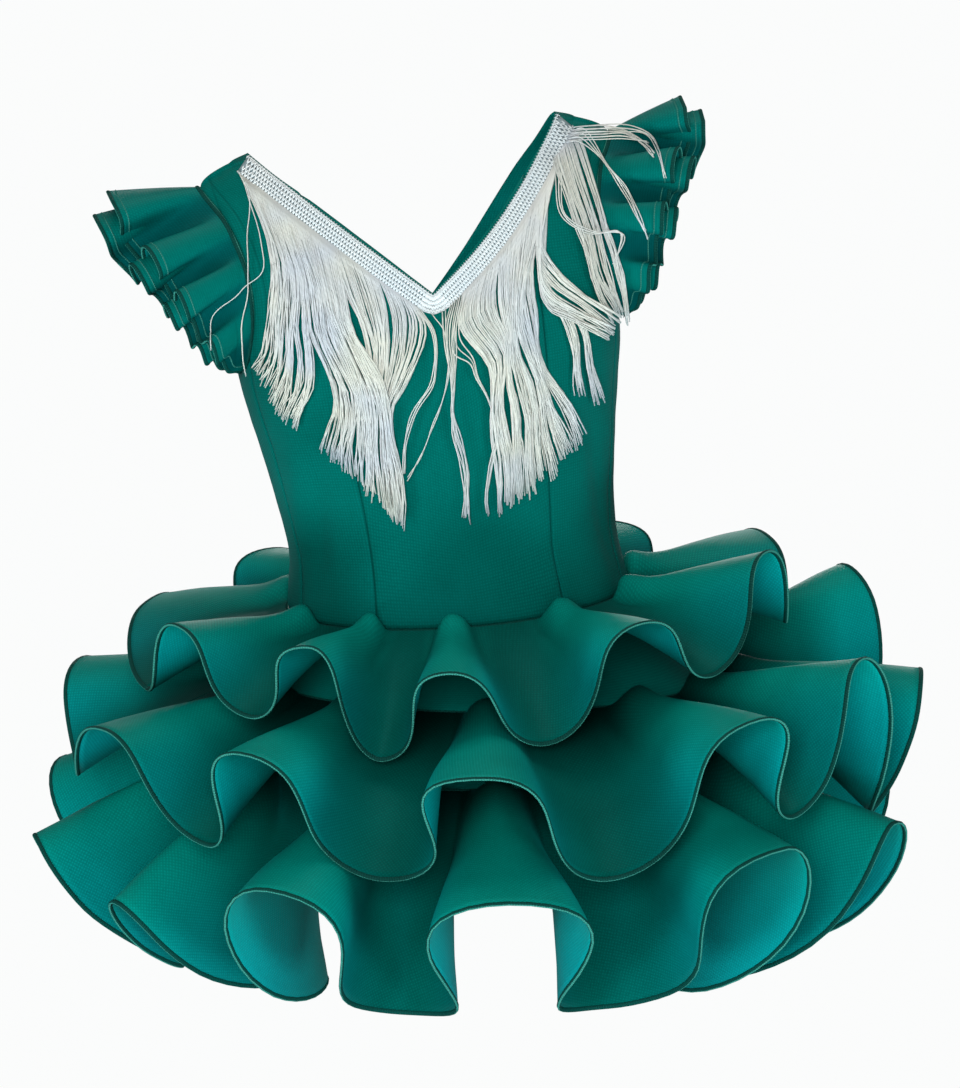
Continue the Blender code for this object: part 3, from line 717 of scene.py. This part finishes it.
def flounce_point(ring, folds, turn, share):
    """A point of a flounce's middle surface, share 0 at its seam and 1 at its hem."""
    azimuth, droop, roll, from_crest = fold_state(folds, turn, share)
    angle, down = math.radians(azimuth), math.radians(droop)
    if ring is None:
        seam, depth = waist_edge(azimuth, CLOTH + FLOUNCE_STAND_OFF, SEAM_GAP), WAIST_FLOUNCE_DEPTH
        half_width, half_depth = SECTIONS[0].half_width, SECTIONS[0].front_depth
        tilt = math.tan(math.radians(WAIST_TILT)) * math.sin(angle)
    else:
        seam, depth = ring_edge(ring, azimuth, CLOTH / 2 + FLOUNCE_STAND_OFF), ring.depth_of_cloth
        half_width, half_depth = ring.half_width, ring.half_depth
        tilt = 0.0
    radial = Vector((math.sin(angle), -math.cos(angle), 0))
    square = Vector((math.sin(angle) / half_width, -math.cos(angle) / half_depth, 0)).normalized()
    out = (radial + square).normalized()
    along = Vector((math.cos(angle), math.sin(angle), 0))
    run = out * math.cos(down) + Vector((0, 0, tilt * math.cos(down) - math.sin(down)))
    upright = out * math.sin(down) + Vector((0, 0, math.cos(down)))
    bow = FLOUNCE_BOW * depth * math.sin(math.pi * share) * (1 - share / 2)
    peak_share = share / CREST_PEAK_AT
    narrow = math.exp(-((from_crest / CREST_PEAK_WIDTH) ** 4))
    peak = CREST_PEAK * peak_share * math.exp(1 - peak_share) * narrow
    foot = FOOT_DEPTH * crest_foot(from_crest, share) * ease(share / FOOT_FULL_AT)
    return seam + run * depth * share + along * roll * share + upright * (bow + peak - foot)


def seam_allowance(folds, turn):
    """Step back from the middle of a flounce's joining seam, half of the gap between its two edges."""
    azimuth = math.radians(fold_state(folds, turn % len(folds))[0])
    return Vector((math.cos(azimuth), math.sin(azimuth), 0)) * SEAM_GAP / 2


def ring_cut(rows, shares, depth):
    """Where each point lies on the flat ring that a flounce is cut from."""
    hem, seam = running_lengths(rows[-1]), running_lengths(rows[0])[-1]
    inner = seam * depth / (hem[-1] - seam)
    angles = [run / (inner + depth) for run in hem]
    radii = [inner + depth * share for share in shares]
    return [[(radius * math.cos(angle), radius * math.sin(angle)) for angle in angles] for radius in radii]


def shaded_wraps(tree, waves, least, dark, colour):
    """A thread's colour, with painted shade in the troughs between its wraps or twists."""
    shade = add_node(tree, "ShaderNodeMapRange", {"Value": waves, "To Min": least, "To Max": 1.0})
    # Inputs 6 and 7 of a mix node are its two colours
    mixed = add_node(
        tree, "ShaderNodeMix", {"Factor": shade.outputs[0], 6: linear(dark), 7: colour}, data_type="RGBA"
    )
    return mixed.outputs[2]


def thread_material(name, outer, tip):
    """Overlock thread: textured polyester wrapped over a rolled edge, a dark green needle side with a light
    mint looper thread on the very edge and just behind it. The wraps are 1 mm apart, drawn at 1.7 mm so that
    they show."""
    made = new_material(name, {"Roughness": 0.7, "Specular IOR Level": 0.10})
    tree = made.node_tree
    shader = tree.nodes["Principled BSDF"]
    spot = add_node(tree, "ShaderNodeTexCoord")
    split = add_node(tree, "ShaderNodeSeparateXYZ", {"Vector": spot.outputs["UV"]})
    wraps = add_node(
        tree, "ShaderNodeTexWave",
        {"Vector": spot.outputs["UV"], "Scale": wave_scale(0.0017), "Distortion": 0.6}, bands_direction="X",
    )
    side = add_node(tree, "ShaderNodeValToRGB", {"Fac": split.outputs["Y"]})
    side.color_ramp.interpolation = "EASE"
    stops = side.color_ramp.elements
    for stop, position in zip(stops, (0.0, 1.0)):
        stop.position, stop.color = position, linear(tip)
    for position, colour in ((0.035, tip), (0.070, outer), (0.84, outer), (0.88, tip)):
        stops.new(position).color = linear(colour)
    tinted = shaded_wraps(tree, wraps.outputs["Fac"], 0.62, "#02302C", side.outputs["Color"])
    bump = add_node(
        tree, "ShaderNodeBump", {"Height": wraps.outputs["Fac"], "Strength": 0.7, "Distance": 0.0005}
    )
    tree.links.new(tinted, shader.inputs["Base Color"])
    tree.links.new(bump.outputs["Normal"], shader.inputs["Normal"])
    return made


overlock_thread = thread_material("overlock thread", "#04453F", "#3E9689")
stitching_thread = thread_material("stitching thread", "#3A877C", "#3E9689")


def painted_light_tone(folds, turn, share, covered):
    """Painted light and shade of a flounce: a painted highlight along a crest, a lighter and bluer painted
    sheen on the flanks by the hem, painted shade in a valley and in the creases by the seam, and painted
    shadow most of all where a flounce above covers it."""
    from_crest = fold_state(folds, turn)[3]
    flank = math.sin(math.pi * from_crest) ** 2 * ease(share) ** 2
    tone = between(CREST_TONE, VALLEY_TONE, ease(from_crest * VALLEY_BREADTH)) + FLANK_TONE * flank
    tone *= 1 - FOOT_TONE * crest_foot(from_crest, share)
    tone *= between(COVERED_TONE, 1.0, ease(share / covered)) if covered else 1.0
    return tone, PAINTED_LIGHT_BLUE + FLANK_BLUE * flank


def add_tube(build, layer, rings, lengths, girth, material=0):
    """Skins rings of points to a closed tube, with its length and the way round its girth as UV map."""
    placed = [[build.verts.new(point) for point in ring] for ring in rings]
    sides = len(rings[0])
    for i in range(len(rings) - 1):
        for k in range(sides):
            n = (k + 1) % sides
            face = build.faces.new((placed[i][k], placed[i][n], placed[i + 1][n], placed[i + 1][k]))
            face.material_index = material
            for loop, (a, b) in zip(face.loops, ((i, k), (i, k + 1), (i + 1, k + 1), (i + 1, k))):
                loop[layer].uv = (lengths[a], b / sides * girth)
    build.faces.new(placed[0][::-1])
    build.faces.new(placed[-1])


def rolled_edge(name, rows, turned, width=0.0034, thick=0.0023, sides=10, inset=0.0, thread=overlock_thread):
    """The rolled overlock edge along the last row of a sheet, a narrow oval cord over the cloth's edge, or a
    line of stitches on its face, this far in from the edge."""
    hem, before = rows[-1], rows[-2]
    reach_from, rise_from = (-inset, CLOTH / 2) if inset else (EDGE_OVERHANG - width / 2, 0.0)
    rings = []
    for j, point in enumerate(hem):
        outward = (point - before[j]).normalized()
        along = hem[min(j + 1, len(hem) - 1)] - hem[max(j - 1, 0)]
        normal = along.cross(outward).normalized() * (-1 if turned else 1)
        ring = []
        for k in range(sides):
            angle = 2 * math.pi * k / sides
            reach = width / 2 * math.cos(angle) + reach_from
            ring.append(point + outward * reach + normal * (thick / 2 * math.sin(angle) + rise_from))
        rings.append(ring)
    cord = bmesh.new()
    add_tube(cord, cord.loops.layers.uv.new("thread"), rings, running_lengths(hem), girth=1.0)
    bmesh.ops.recalc_face_normals(cord, faces=cord.faces)
    piece = finished_piece(name, cord, [thread])
    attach(piece, "root")
    return piece


# The wander of the cloth is the same in every run
noise.seed_set(5)


def unevenness(point, share):
    """Small wander of a hanging sheet, none at its seam."""
    broad = noise.noise_vector(point * 11.0) * 0.0022 * share
    return broad + noise.noise_vector(point * 34.0) * 0.0005 * share


Length = namedtuple("Length", "cut area")
# covered: how far from the seam, as a share of its depth, a flounce lies in painted shadow under the flounce
# above; 0 for none
Flounce = namedtuple("Flounce", "name ring folds first_valley last_valley covered front back")
FLOUNCES = [
    Flounce("upper", None, UPPER_FOLDS, 2.5, 7.5, 0.0,
            Length((0.925, 0.110), 0.0609), Length((1.000, 0.110), 0.0704)),
    Flounce("middle", MIDDLE_RING, MIDDLE_FOLDS, 3.5, 8.5, 0.55,
            Length((1.515, 0.140), 0.1255), Length((1.381, 0.140), 0.1162)),
    Flounce("lower", LOWER_RING, LOWER_FOLDS, 2.5, 7.5, 0.45,
            Length((2.385, 0.145), 0.1840), Length((1.948, 0.145), 0.1590)),
]

for flounce in FLOUNCES:
    ring, folds, whole = flounce.ring, flounce.folds, len(flounce.folds)
    lengths = (
        ("front", flounce.last_valley - whole, flounce.first_valley, flounce.front),
        ("back", flounce.first_valley, flounce.last_valley, flounce.back),
    )
    shares = [(i / FLOUNCE_ROWS) ** ROW_CROWDING for i in range(FLOUNCE_ROWS + 1)]
    for place, start, end, (cut, area) in lengths:
        steps = round((end - start) * COLUMNS_PER_FOLD)
        turns = [between(start, end, step / steps) for step in range(steps + 1)]
        settled = [min(j, steps - j, SETTLED_COLUMNS) / SETTLED_COLUMNS for j in range(steps + 1)]
        rows, tones = [], []
        for share in shares:
            tones.append([painted_light_tone(folds, turn % whole, share, flounce.covered) for turn in turns])
            row = [flounce_point(ring, folds, turn % whole, share) for turn in turns]
            row = [point + unevenness(point, share) * free for point, free in zip(row, settled)]
            row[0] += seam_allowance(folds, start)
            row[-1] -= seam_allowance(folds, end)
            rows.append(row)
        node = f"flounce_{flounce.name}_{place}"
        sheet = cloth_piece(node, [(rows, tones)], turned=True, flat=ring_cut(rows, shares, cut[1]))
        columns = [[row[-2] for row in rows], [row[-1] for row in rows]]
        sewn = [
            rolled_edge(node + "_edge", rows, turned=True),
            rolled_edge(node + "_joining_seam", columns, turned=False, width=0.0020, thick=0.0022, sides=6),
            rolled_edge(node + "_top_seam", rows[1::-1], turned=True, width=0.0022, thick=0.0020, sides=6),
        ]

# Skirt base: the short flared carrier under the flounces, of the same crepe, from the waist seam, where its
# seam allowance stands up inside the bodice, to the seam of the lowest flounce.
BASE_COLUMNS = 192
BASE_ROWS = 24
BASE_LAP = 0.003
WAIST_LAP = 0.004
WAIST_LAP_INSIDE = 0.0022

rows = []
for step in range(BASE_ROWS + 1):
    share = 3.0 * step / BASE_ROWS
    at = min(int(share), 2)
    row = []
    for column in range(BASE_COLUMNS):
        azimuth = 360 * column / BASE_COLUMNS
        heights = [
            waist_edge(azimuth, -WAIST_LAP_INSIDE, -WAIST_LAP),
            waist_edge(azimuth, CLOTH / 2, CLOTH + BASE_DROP),
            ring_edge(MIDDLE_RING, azimuth, 0),
            ring_edge(LOWER_RING, azimuth, 0) - Vector((0, 0, BASE_LAP)),
        ]
        row.append(heights[at].lerp(heights[at + 1], share - at))
    rows.append(row)
tones = [[(1.0, 1.0)] * BASE_COLUMNS for row in rows]
base = cloth_piece("skirt_base", [(rows, tones)], turned=True, closed=True)

# Sleeve ruffles: two circular layers on each armhole, the upper a little shorter, full over the shoulder and
# running out under the arm, with the same rolled edge as the flounces.
RUFFLE_START = -58.0
RUFFLE_END = 238.0
RUFFLE_RUN_OUT = 6.0
RUFFLE_TAPER = 2.4
RUFFLE_FOLDS = 8
RUFFLE_COLUMNS = RUFFLE_FOLDS * 30
RUFFLE_ROWS = 18
RUFFLE_SAG = 0.003
RUFFLE_ROLL = 0.0065
RUFFLE_SWING = 1.5
# Painted light and shade of the ruffles: lighter crests, darker and bluer valleys
RUFFLE_CREST_TONE = 1.25
RUFFLE_VALLEY_TONE = 0.55
RUFFLE_VALLEY_BLUE = 0.18
RUFFLE_WANDER = 0.4
HEM_STITCH_INSET = 0.0055
RUFFLE_LIFT = 8.0
RUFFLE_SEAM_OUT = 0.0014
TANGENT_STEP = 14.0
# covered: the lightness at a ruffle's seam, painted shadow under the ruffle above
Ruffle = namedtuple("Ruffle", "name depth crest valley stand_off cut_length area covered")
RUFFLES = [
    Ruffle("upper", 0.064, 70, 90, 0.0012, 0.42, 0.0172, 1.0),
    Ruffle("lower", 0.076, 81, 101, -0.0012, 0.44, 0.0196, 0.35),
]
Sleeve = namedtuple("Sleeve", "hand side drop depth_share area_share")
SLEEVES = [
    Sleeve("left", -1, 25, 0.95, 1.0),
    Sleeve("right", 1, 12, 0.86, 0.89),
]


def ruffle_depth(ruffle, sleeve, turn):
    """Depth of a cap ruffle, full over the shoulder and running out under the arm."""
    half_span = (RUFFLE_END - RUFFLE_START) / 2 + RUFFLE_RUN_OUT
    return ruffle.depth * sleeve.depth_share * (1 - (abs(turn - 90) / half_span) ** RUFFLE_TAPER)


def ruffle_turns(count):
    """Armhole turns at equal steps of the ruffle's seam."""
    turns = [between(RUFFLE_START, RUFFLE_END, step / 200) for step in range(201)]
    lengths = running_lengths([bodice_surface(*armhole_edge(turn)) for turn in turns])
    return [between(turns[at], turns[at + 1], share) for at, share in even_steps(lengths, count)]


def ruffle_phase(sleeve, along):
    """Which part of a fold lies at this share of the seam; the folds are a little uneven."""
    uneven = 0.010 * math.sin(9.0 * along + 2.1 * sleeve.side) + 0.006 * math.sin(23.0 * along)
    return 2 * math.pi * RUFFLE_FOLDS * (along + uneven * math.sin(math.pi * along))


def ruffle_point(ruffle, sleeve, turn, along, share):
    """A point of a cap ruffle's middle surface: turn and along give the place round the armhole, share 0 to 1
    runs from seam to hem."""
    drop = math.radians(sleeve.drop)
    outward = body_direction(sleeve.side * math.cos(drop), 0, -math.sin(drop))
    places = []
    for step in (-TANGENT_STEP, 0.0, TANGENT_STEP):
        azimuth, height = armhole_edge(turn + step)
        places.append(bodice_surface(sleeve.side * azimuth, height))
    tangent = (places[2] - places[0]).normalized()
    radial = outward.cross(tangent).normalized() * sleeve.side
    phase = ruffle_phase(sleeve, along)
    depth = ruffle_depth(ruffle, sleeve, turn)
    fullness = depth / (ruffle.depth * sleeve.depth_share)
    middle, swing = (ruffle.valley + ruffle.crest) / 2, (ruffle.valley - ruffle.crest) / 2
    lift = RUFFLE_LIFT * max(0.0, math.sin(math.radians(turn))) ** 2
    flare = math.radians(middle - lift - swing * RUFFLE_SWING * math.cos(phase) * fullness)
    seam = places[1] + outward * RUFFLE_SEAM_OUT + radial * ruffle.stand_off
    run = radial * math.cos(flare) + outward * math.sin(flare)
    roll = RUFFLE_ROLL * math.sin(2 * phase) * fullness
    sag = Vector((0, 0, -RUFFLE_SAG * share * share * fullness))
    return seam + run * depth * share + tangent * roll * share + sag


for sleeve in SLEEVES:
    turned = sleeve.side > 0
    for ruffle in RUFFLES:
        turns = ruffle_turns(RUFFLE_COLUMNS)
        places = [step / RUFFLE_COLUMNS for step in range(RUFFLE_COLUMNS + 1)]
        # Painted light and shade: lighter crests, darker and bluer valleys, and painted shadow by the seam of
        # the lower ruffle, under the upper one
        crests = [(1 + math.cos(ruffle_phase(sleeve, place))) / 2 for place in places]
        blues = [1 + RUFFLE_VALLEY_BLUE * (1 - crest) for crest in crests]
        rows, tones = [], []
        for i in range(RUFFLE_ROWS + 1):
            share = i / RUFFLE_ROWS
            row = [ruffle_point(ruffle, sleeve, turn, place, share) for turn, place in zip(turns, places)]
            rows.append([point + unevenness(point, share) * RUFFLE_WANDER for point in row])
            deep = RUFFLE_VALLEY_TONE * (1.25 - ease(share) * 0.25)
            light = between(ruffle.covered, 1.0, ease(share))
            lights = [light * between(deep, RUFFLE_CREST_TONE, ease(crest)) for crest in crests]
            tones.append(list(zip(lights, blues)))
        node = f"sleeve_ruffle_{ruffle.name}_{sleeve.hand}"
        sheet = cloth_piece(node, [(rows, tones)], turned=turned)
        sewn = [rolled_edge(node + "_edge", rows, turned, width=0.0030, thick=0.0021, sides=8)]
        sewn.append(rolled_edge(
            node + "_hem_stitch", rows, turned, width=0.0009, thick=0.0010, sides=4, inset=HEM_STITCH_INSET,
            thread=stitching_thread,
        ))
        if ruffle.name == "upper":
            sewn.append(rolled_edge(node + "_seam", rows[1::-1], turned, width=0.0036, thick=0.0030, sides=8))
        cut, area = (ruffle.cut_length, ruffle.depth), ruffle.area * sleeve.area_share

# Neck fringe: a crochet header band sewn over the edge of the V, with long rayon threads looped through its
# lower edge. The threads hang in loose bunches over the chest, and some stray over the shoulders.
HEADER_WIDTH = 0.014
HEADER_CORNERS = ((0.0012, 0.0004), (0.0012, 0.0011), (0.0138, 0.0011), (0.0138, 0.0004))
CHAIN_ROWS = (0.0020, 0.0132)
CHAIN_OUT = 0.0014
CHAIN_THICK = 0.0011
STITCH_ROWS = ((0.0024, 0.0052), (0.0052, 0.0080), (0.0080, 0.0106), (0.0106, 0.0130))
STITCHES = 132
STITCH_SLANT = 0.0030
POINT_STITCHES = 12
POINT_STITCH_SLANT = 0.0009
STITCH_OUT = 0.0013
STITCH_RISE = 0.0007
STITCH_THICK = 0.0012
WHIPS = 150
WHIP_PLACES = ((0.0030, 0.0018), (0.0016, 0.0017), (0.0007, 0.0008))
WHIP_THICK = 0.0008
THREAD = 0.0010
THREADS_PER_LOCK = 9
THREAD_FALL = 0.30
THREAD_STAND_OFF = 0.0006
LIFT_RANGE = 0.0016
OWN_WAVE = 0.0004
OWN_WAVE_LENGTH = 0.030
WAVE_FULL_AT = 0.07


def header_place(share, below):
    """Azimuth and height on the front, share 0 to 1 along the neckline and a distance below its edge."""
    x = NECK_POINT_X * (2 * share - 1)
    step = 0.002
    rise = (neck_height(x + step) - neck_height(x - step)) / (2 * step)
    if abs(x) > NECK_POINT_X - step:
        rise = math.copysign(1.0, x)
    slant = math.atan(rise)
    height = min(neck_height(x) - below * math.cos(slant), SHOULDER_HEIGHT - 0.0015)
    return azimuth_of(x + below * math.sin(slant), height), height


def header_point(share, below, out):
    azimuth, height = header_place(share, below)
    return bodice_point(azimuth, height, CLOTH + out)


def fringe_material(name, warm, cool):
    """Silver rayon: smooth bright filament with a soft twist, about 1 mm thick, warm in some places and cool
    in others as the bundles turn to the light."""
    made = new_material(name, {"Roughness": 0.42, "Specular IOR Level": 0.50})
    tree = made.node_tree
    shader = tree.nodes["Principled BSDF"]
    spot = add_node(tree, "ShaderNodeTexCoord")
    twist = add_node(
        tree, "ShaderNodeTexWave",
        {"Vector": spot.outputs["UV"], "Scale": wave_scale(0.0026), "Distortion": 0.3},
        bands_direction="DIAGONAL",
    )
    patches = add_node(
        tree, "ShaderNodeTexNoise", {"Vector": spot.outputs["Object"], "Scale": 16.0, "Detail": 2.0}
    )
    ramp = add_node(tree, "ShaderNodeValToRGB", {"Fac": patches.outputs["Fac"]})
    for element, colour, position in zip(ramp.color_ramp.elements, (warm, cool), (0.40, 0.62)):
        element.color, element.position = linear(colour), position
    tinted = shaded_wraps(tree, twist.outputs["Fac"], 0.86, "#7E8684", ramp.outputs["Color"])
    tree.links.new(tinted, shader.inputs["Base Color"])
    return made


silver_rayon = fringe_material("silver rayon thread", "#DADBD2", "#CBD1D8")
header_rayon = fringe_material("silver rayon thread, crocheted", "#E2E8EA", "#DAE3E8")
header_net = new_material("header net in shade", {"Base Color": linear("#8799A0"), "Roughness": 0.8})

fringe_build = bmesh.new()
thread_layer = fringe_build.loops.layers.uv.new("thread")


def add_thread(points, thick, sides=3, material=0):
    """A thread along points, with its length and girth as UV; it is about a pixel wide, so three sides do."""
    turns = [2 * math.pi * k / sides for k in range(sides)]
    rings = []
    for i, point in enumerate(points):
        ahead = (points[min(i + 1, len(points) - 1)] - points[max(i - 1, 0)]).normalized()
        across = ahead.cross(Vector((0, 1, 0.001))).normalized()
        up = ahead.cross(across)
        rings.append([point + (across * math.cos(turn) + up * math.sin(turn)) * thick / 2 for turn in turns])
    add_tube(fringe_build, thread_layer, rings, running_lengths(points), math.pi * thick, material)


# Loose bunches: number of threads, where they start on the header, how far they lie over the cloth, and the
# (x, z) places that their left and right edges pass below the header, down to the ends. The last rows are
# single strays.
Bunch = namedtuple("Bunch", "count root_from root_to lift left right")
BUNCHES = [
    Bunch(72, 0.006, 0.140, 0.0010,
          ((-0.088, -0.058), (-0.084, -0.100), (-0.088, -0.130), (-0.098, -0.148)),
          ((-0.059, -0.091), (-0.056, -0.123), (-0.057, -0.160), (-0.063, -0.190))),
    Bunch(84, 0.240, 0.490, 0.0000,
          ((-0.035, -0.094), (-0.021, -0.130), (-0.014, -0.173), (-0.008, -0.236)),
          ((0.018, -0.123), (0.004, -0.158), (-0.004, -0.183), (0.002, -0.241))),
    Bunch(116, 0.115, 0.270, 0.0026,
          ((-0.064, -0.077), (-0.057, -0.117), (-0.041, -0.166), (-0.048, -0.200)),
          ((-0.030, -0.113), (-0.013, -0.150), (-0.003, -0.186), (0.003, -0.247))),
    Bunch(3, 0.475, 0.495, 0.0020,
          ((0.022, -0.123), (0.020, -0.148), (0.007, -0.176), (-0.001, -0.214)),
          ((0.025, -0.123), (0.024, -0.150), (0.012, -0.180), (0.003, -0.213))),
    Bunch(2, 0.495, 0.510, 0.0020,
          ((0.030, -0.123), (0.030, -0.156), (0.023, -0.183), (0.002, -0.216)),
          ((0.031, -0.123), (0.031, -0.160), (0.020, -0.193), (0.005, -0.226))),
    Bunch(7, 0.500, 0.560, 0.0016,
          ((0.028, -0.120), (0.032, -0.152), (0.037, -0.200), (0.040, -0.249)),
          ((0.039, -0.120), (0.037, -0.160), (0.043, -0.196), (0.052, -0.249))),
    Bunch(3, 0.540, 0.575, 0.0018,
          ((0.033, -0.135), (0.049, -0.146), (0.060, -0.180), (0.056, -0.241)),
          ((0.040, -0.120), (0.052, -0.143), (0.063, -0.186), (0.060, -0.238))),
    Bunch(66, 0.560, 0.700, 0.0014,
          ((0.039, -0.117), (0.057, -0.145), (0.060, -0.180), (0.064, -0.236)),
          ((0.062, -0.104), (0.074, -0.130), (0.076, -0.166), (0.082, -0.232))),
    Bunch(116, 0.685, 0.910, 0.0006,
          ((0.065, -0.104), (0.069, -0.130), (0.073, -0.166), (0.078, -0.233)),
          ((0.089, -0.084), (0.091, -0.129), (0.107, -0.165), (0.122, -0.196))),
    Bunch(40, 0.830, 0.940, 0.0022,
          ((0.090, -0.089), (0.097, -0.108), (0.115, -0.117), (0.136, -0.125)),
          ((0.094, -0.058), (0.104, -0.081), (0.120, -0.099), (0.147, -0.117))),
    Bunch(24, 0.800, 0.880, 0.0012,
          ((0.093, -0.094), (0.105, -0.115), (0.111, -0.141), (0.115, -0.168)),
          ((0.098, -0.091), (0.121, -0.117), (0.129, -0.141), (0.138, -0.172))),
    Bunch(44, 0.920, 0.992, 0.0020,
          ((0.101, -0.017), (0.113, -0.049), (0.124, -0.091), (0.140, -0.115)),
          ((0.123, -0.009), (0.135, -0.051), (0.146, -0.079), (0.151, -0.119))),
    Bunch(6, 0.955, 0.990, 0.0030,
          ((0.114, 0.007), (0.130, 0.007), (0.146, -0.000), (0.161, -0.004)),
          ((0.119, 0.013), (0.138, 0.010), (0.156, -0.000), (0.170, -0.007))),
    Bunch(4, 0.950, 0.985, 0.0030,
          ((0.117, 0.004), (0.130, -0.013), (0.145, -0.035), (0.161, -0.056)),
          ((0.124, 0.005), (0.138, -0.019), (0.156, -0.038), (0.163, -0.066))),
    Bunch(3, 0.970, 0.992, 0.0030,
          ((0.123, 0.015), (0.146, 0.010), (0.163, -0.002), (0.174, -0.021)),
          ((0.125, 0.016), (0.151, 0.010), (0.168, -0.003), (0.178, -0.029))),
    Bunch(3, 0.900, 0.950, 0.0034,
          ((0.105, -0.048), (0.124, -0.062), (0.142, -0.060), (0.145, -0.076)),
          ((0.109, -0.045), (0.128, -0.059), (0.148, -0.064), (0.139, -0.086))),
    Bunch(1, 0.004, 0.010, 0.0020,
          ((-0.098, -0.038), (-0.099, -0.076), (-0.101, -0.110), (-0.102, -0.146)),
          ((-0.098, -0.038), (-0.099, -0.076), (-0.101, -0.110), (-0.102, -0.146))),
    Bunch(1, 0.010, 0.020, 0.0026,
          ((-0.087, -0.076), (-0.103, -0.095), (-0.121, -0.112), (-0.121, -0.124)),
          ((-0.087, -0.076), (-0.103, -0.095), (-0.121, -0.112), (-0.121, -0.124))),
]


def curve_through(points, steps):
    """Points on a smooth curve through the given ones."""
    ends = [points[0] * 2 - points[1], *points, points[-1] * 2 - points[-2]]
    line = []
    for i in range(len(points) - 1):
        a, b, c, d = ends[i : i + 4]
        for step in range(steps + (i == len(points) - 2)):
            t = step / steps
            line.append(
                b + (c - a) * (t / 2) + (a * 2 - b * 5 + c * 4 - d) * (t * t / 2)
                + (b * 3 - a - c * 3 + d) * (t**3 / 2)
            )
    return line


def lay_on_front(line, root, out):
    """Gives a thread's (x, z) line its depth: it lies over the cloth in front, and falls back slowly."""
    points, stand = [root], -root.y - CLOTH
    for i in range(1, len(line)):
        place = line[i]
        hit = cloth_front.ray_cast(Vector((place.x, -1.0, place.y)), Vector((0, 1, 0)))[0]
        depth = -hit.y if hit and hit.y < 0.02 else -1.0
        stand = max(stand - THREAD_FALL * (place - line[i - 1]).length, depth)
        points.append(Vector((place.x, -stand - THREAD_STAND_OFF - out * min(1.0, 0.3 * i), place.y)))
    return points


front_build = bmesh.new()
for piece in bpy.context.scene.objects:
    if piece.type == "MESH" and piece.name.endswith("_cloth") and piece.name.startswith(("bodice", "sleeve")):
        front_build.from_mesh(piece.data)
cloth_front = BVHTree.FromBMesh(front_build)
front_build.free()

# A lock of threads that hang together: its shift across, how far it ends lower, its lift, and the wave that
# it took in the packet. The waves of neighbouring locks follow each other.
Lock = namedtuple("Lock", "shift end lift phase length wave")

chance = random.Random(11)
for bunch in BUNCHES:
    locks = max(1, bunch.count // THREADS_PER_LOCK)
    start = chance.uniform(0, 2 * math.pi)
    gathered = [
        Lock(chance.uniform(-0.03, 0.03), chance.uniform(-0.006, 0.004), chance.random(),
             start + 2.4 * number / locks + chance.uniform(-0.35, 0.35), chance.uniform(0.070, 0.085),
             chance.uniform(0.0010, 0.0022))
        for number in range(locks)
    ]
    for number in range(bunch.count):
        across = (number + 0.5) / bunch.count
        lock = gathered[number * locks // bunch.count]
        middle = (number * locks // bunch.count + 0.5) / locks
        root = header_point(between(bunch.root_from, bunch.root_to, across), HEADER_WIDTH - 0.001, 0.0016)
        stations = [Vector((root.x, root.z))]
        for step, (left, right) in enumerate(zip(bunch.left, bunch.right)):
            spread = 0.02 + 0.014 * step
            share = between(across, middle, 0.10 + 0.12 * step) + lock.shift * (1 + step) / 2
            share += chance.uniform(-spread, spread)
            stations.append(Vector(left).lerp(Vector(right), share))
        stations[-1].y += lock.end + chance.uniform(-0.005, 0.003)
        for station in stations[1:]:
            station.y = min(station.y, root.z + 0.001)
        line = curve_through(stations, 4 if locks > 1 else 8)
        own, run = chance.uniform(0, 2 * math.pi), 0.0
        for i in range(1, len(line)):
            run += (line[i] - line[i - 1]).length
            wave = lock.wave * math.sin(2 * math.pi * run / lock.length + lock.phase)
            wave += OWN_WAVE * math.sin(2 * math.pi * run / OWN_WAVE_LENGTH + own)
            line[i] = line[i] + Vector((wave * ease(run / WAVE_FULL_AT), 0))
        out = THREAD_STAND_OFF + bunch.lift + lock.lift * LIFT_RANGE + chance.random() * LIFT_RANGE
        add_thread(lay_on_front(line, root, out), THREAD * chance.uniform(0.85, 1.15))

# The header: a close crochet band of slanting stitches between finer chains, whipped over the cloth's edge
header_shares = [between(0.004, 0.996, step / 180) for step in range(181)]
band = [[header_point(share, below, out) for below, out in HEADER_CORNERS] for share in header_shares]
placed = [[fringe_build.verts.new(point) for point in corners] for corners in band]
for first, second in zip(placed, placed[1:]):
    for a in range(4):
        b = (a + 1) % 4
        fringe_build.faces.new((first[a], second[a], second[b], first[b])).material_index = 1
fringe_build.faces.new(placed[0])
fringe_build.faces.new(placed[-1][::-1])
for below in CHAIN_ROWS:
    line = [header_point(share, below, CHAIN_OUT) for share in header_shares]
    add_thread(line, CHAIN_THICK, sides=4, material=2)
for row, (top, bottom) in enumerate(STITCH_ROWS):
    offset = 0.5 * (row % 2)
    stitches = [(between(0.012, 0.988, (n + offset) / STITCHES), STITCH_SLANT) for n in range(STITCHES)]
    point = [between(0.4905, 0.5095, n / (POINT_STITCHES - 1)) for n in range(POINT_STITCHES)]
    stitches += [(share, POINT_STITCH_SLANT) for share in point]
    for share, spread in stitches:
        for slant in (-spread, spread):
            line = []
            for step in range(4):
                t = step / 3
                out = STITCH_OUT + STITCH_RISE * math.sin(math.pi * t)
                line.append(header_point(share + slant * (1 - t), between(top, bottom, t), out))
            add_thread(line, STITCH_THICK, sides=4, material=2)
for number in range(WHIPS):
    share = between(0.006, 0.994, number / (WHIPS - 1))
    line = [header_point(share, below, out) for below, out in WHIP_PLACES]
    add_thread(line, WHIP_THICK, material=2)
bmesh.ops.recalc_face_normals(fringe_build, faces=fringe_build.faces)
fringe = finished_piece("neck_fringe_threads", fringe_build, (silver_rayon, header_net, header_rayon))
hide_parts("neck_fringe")
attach(fringe, "root")
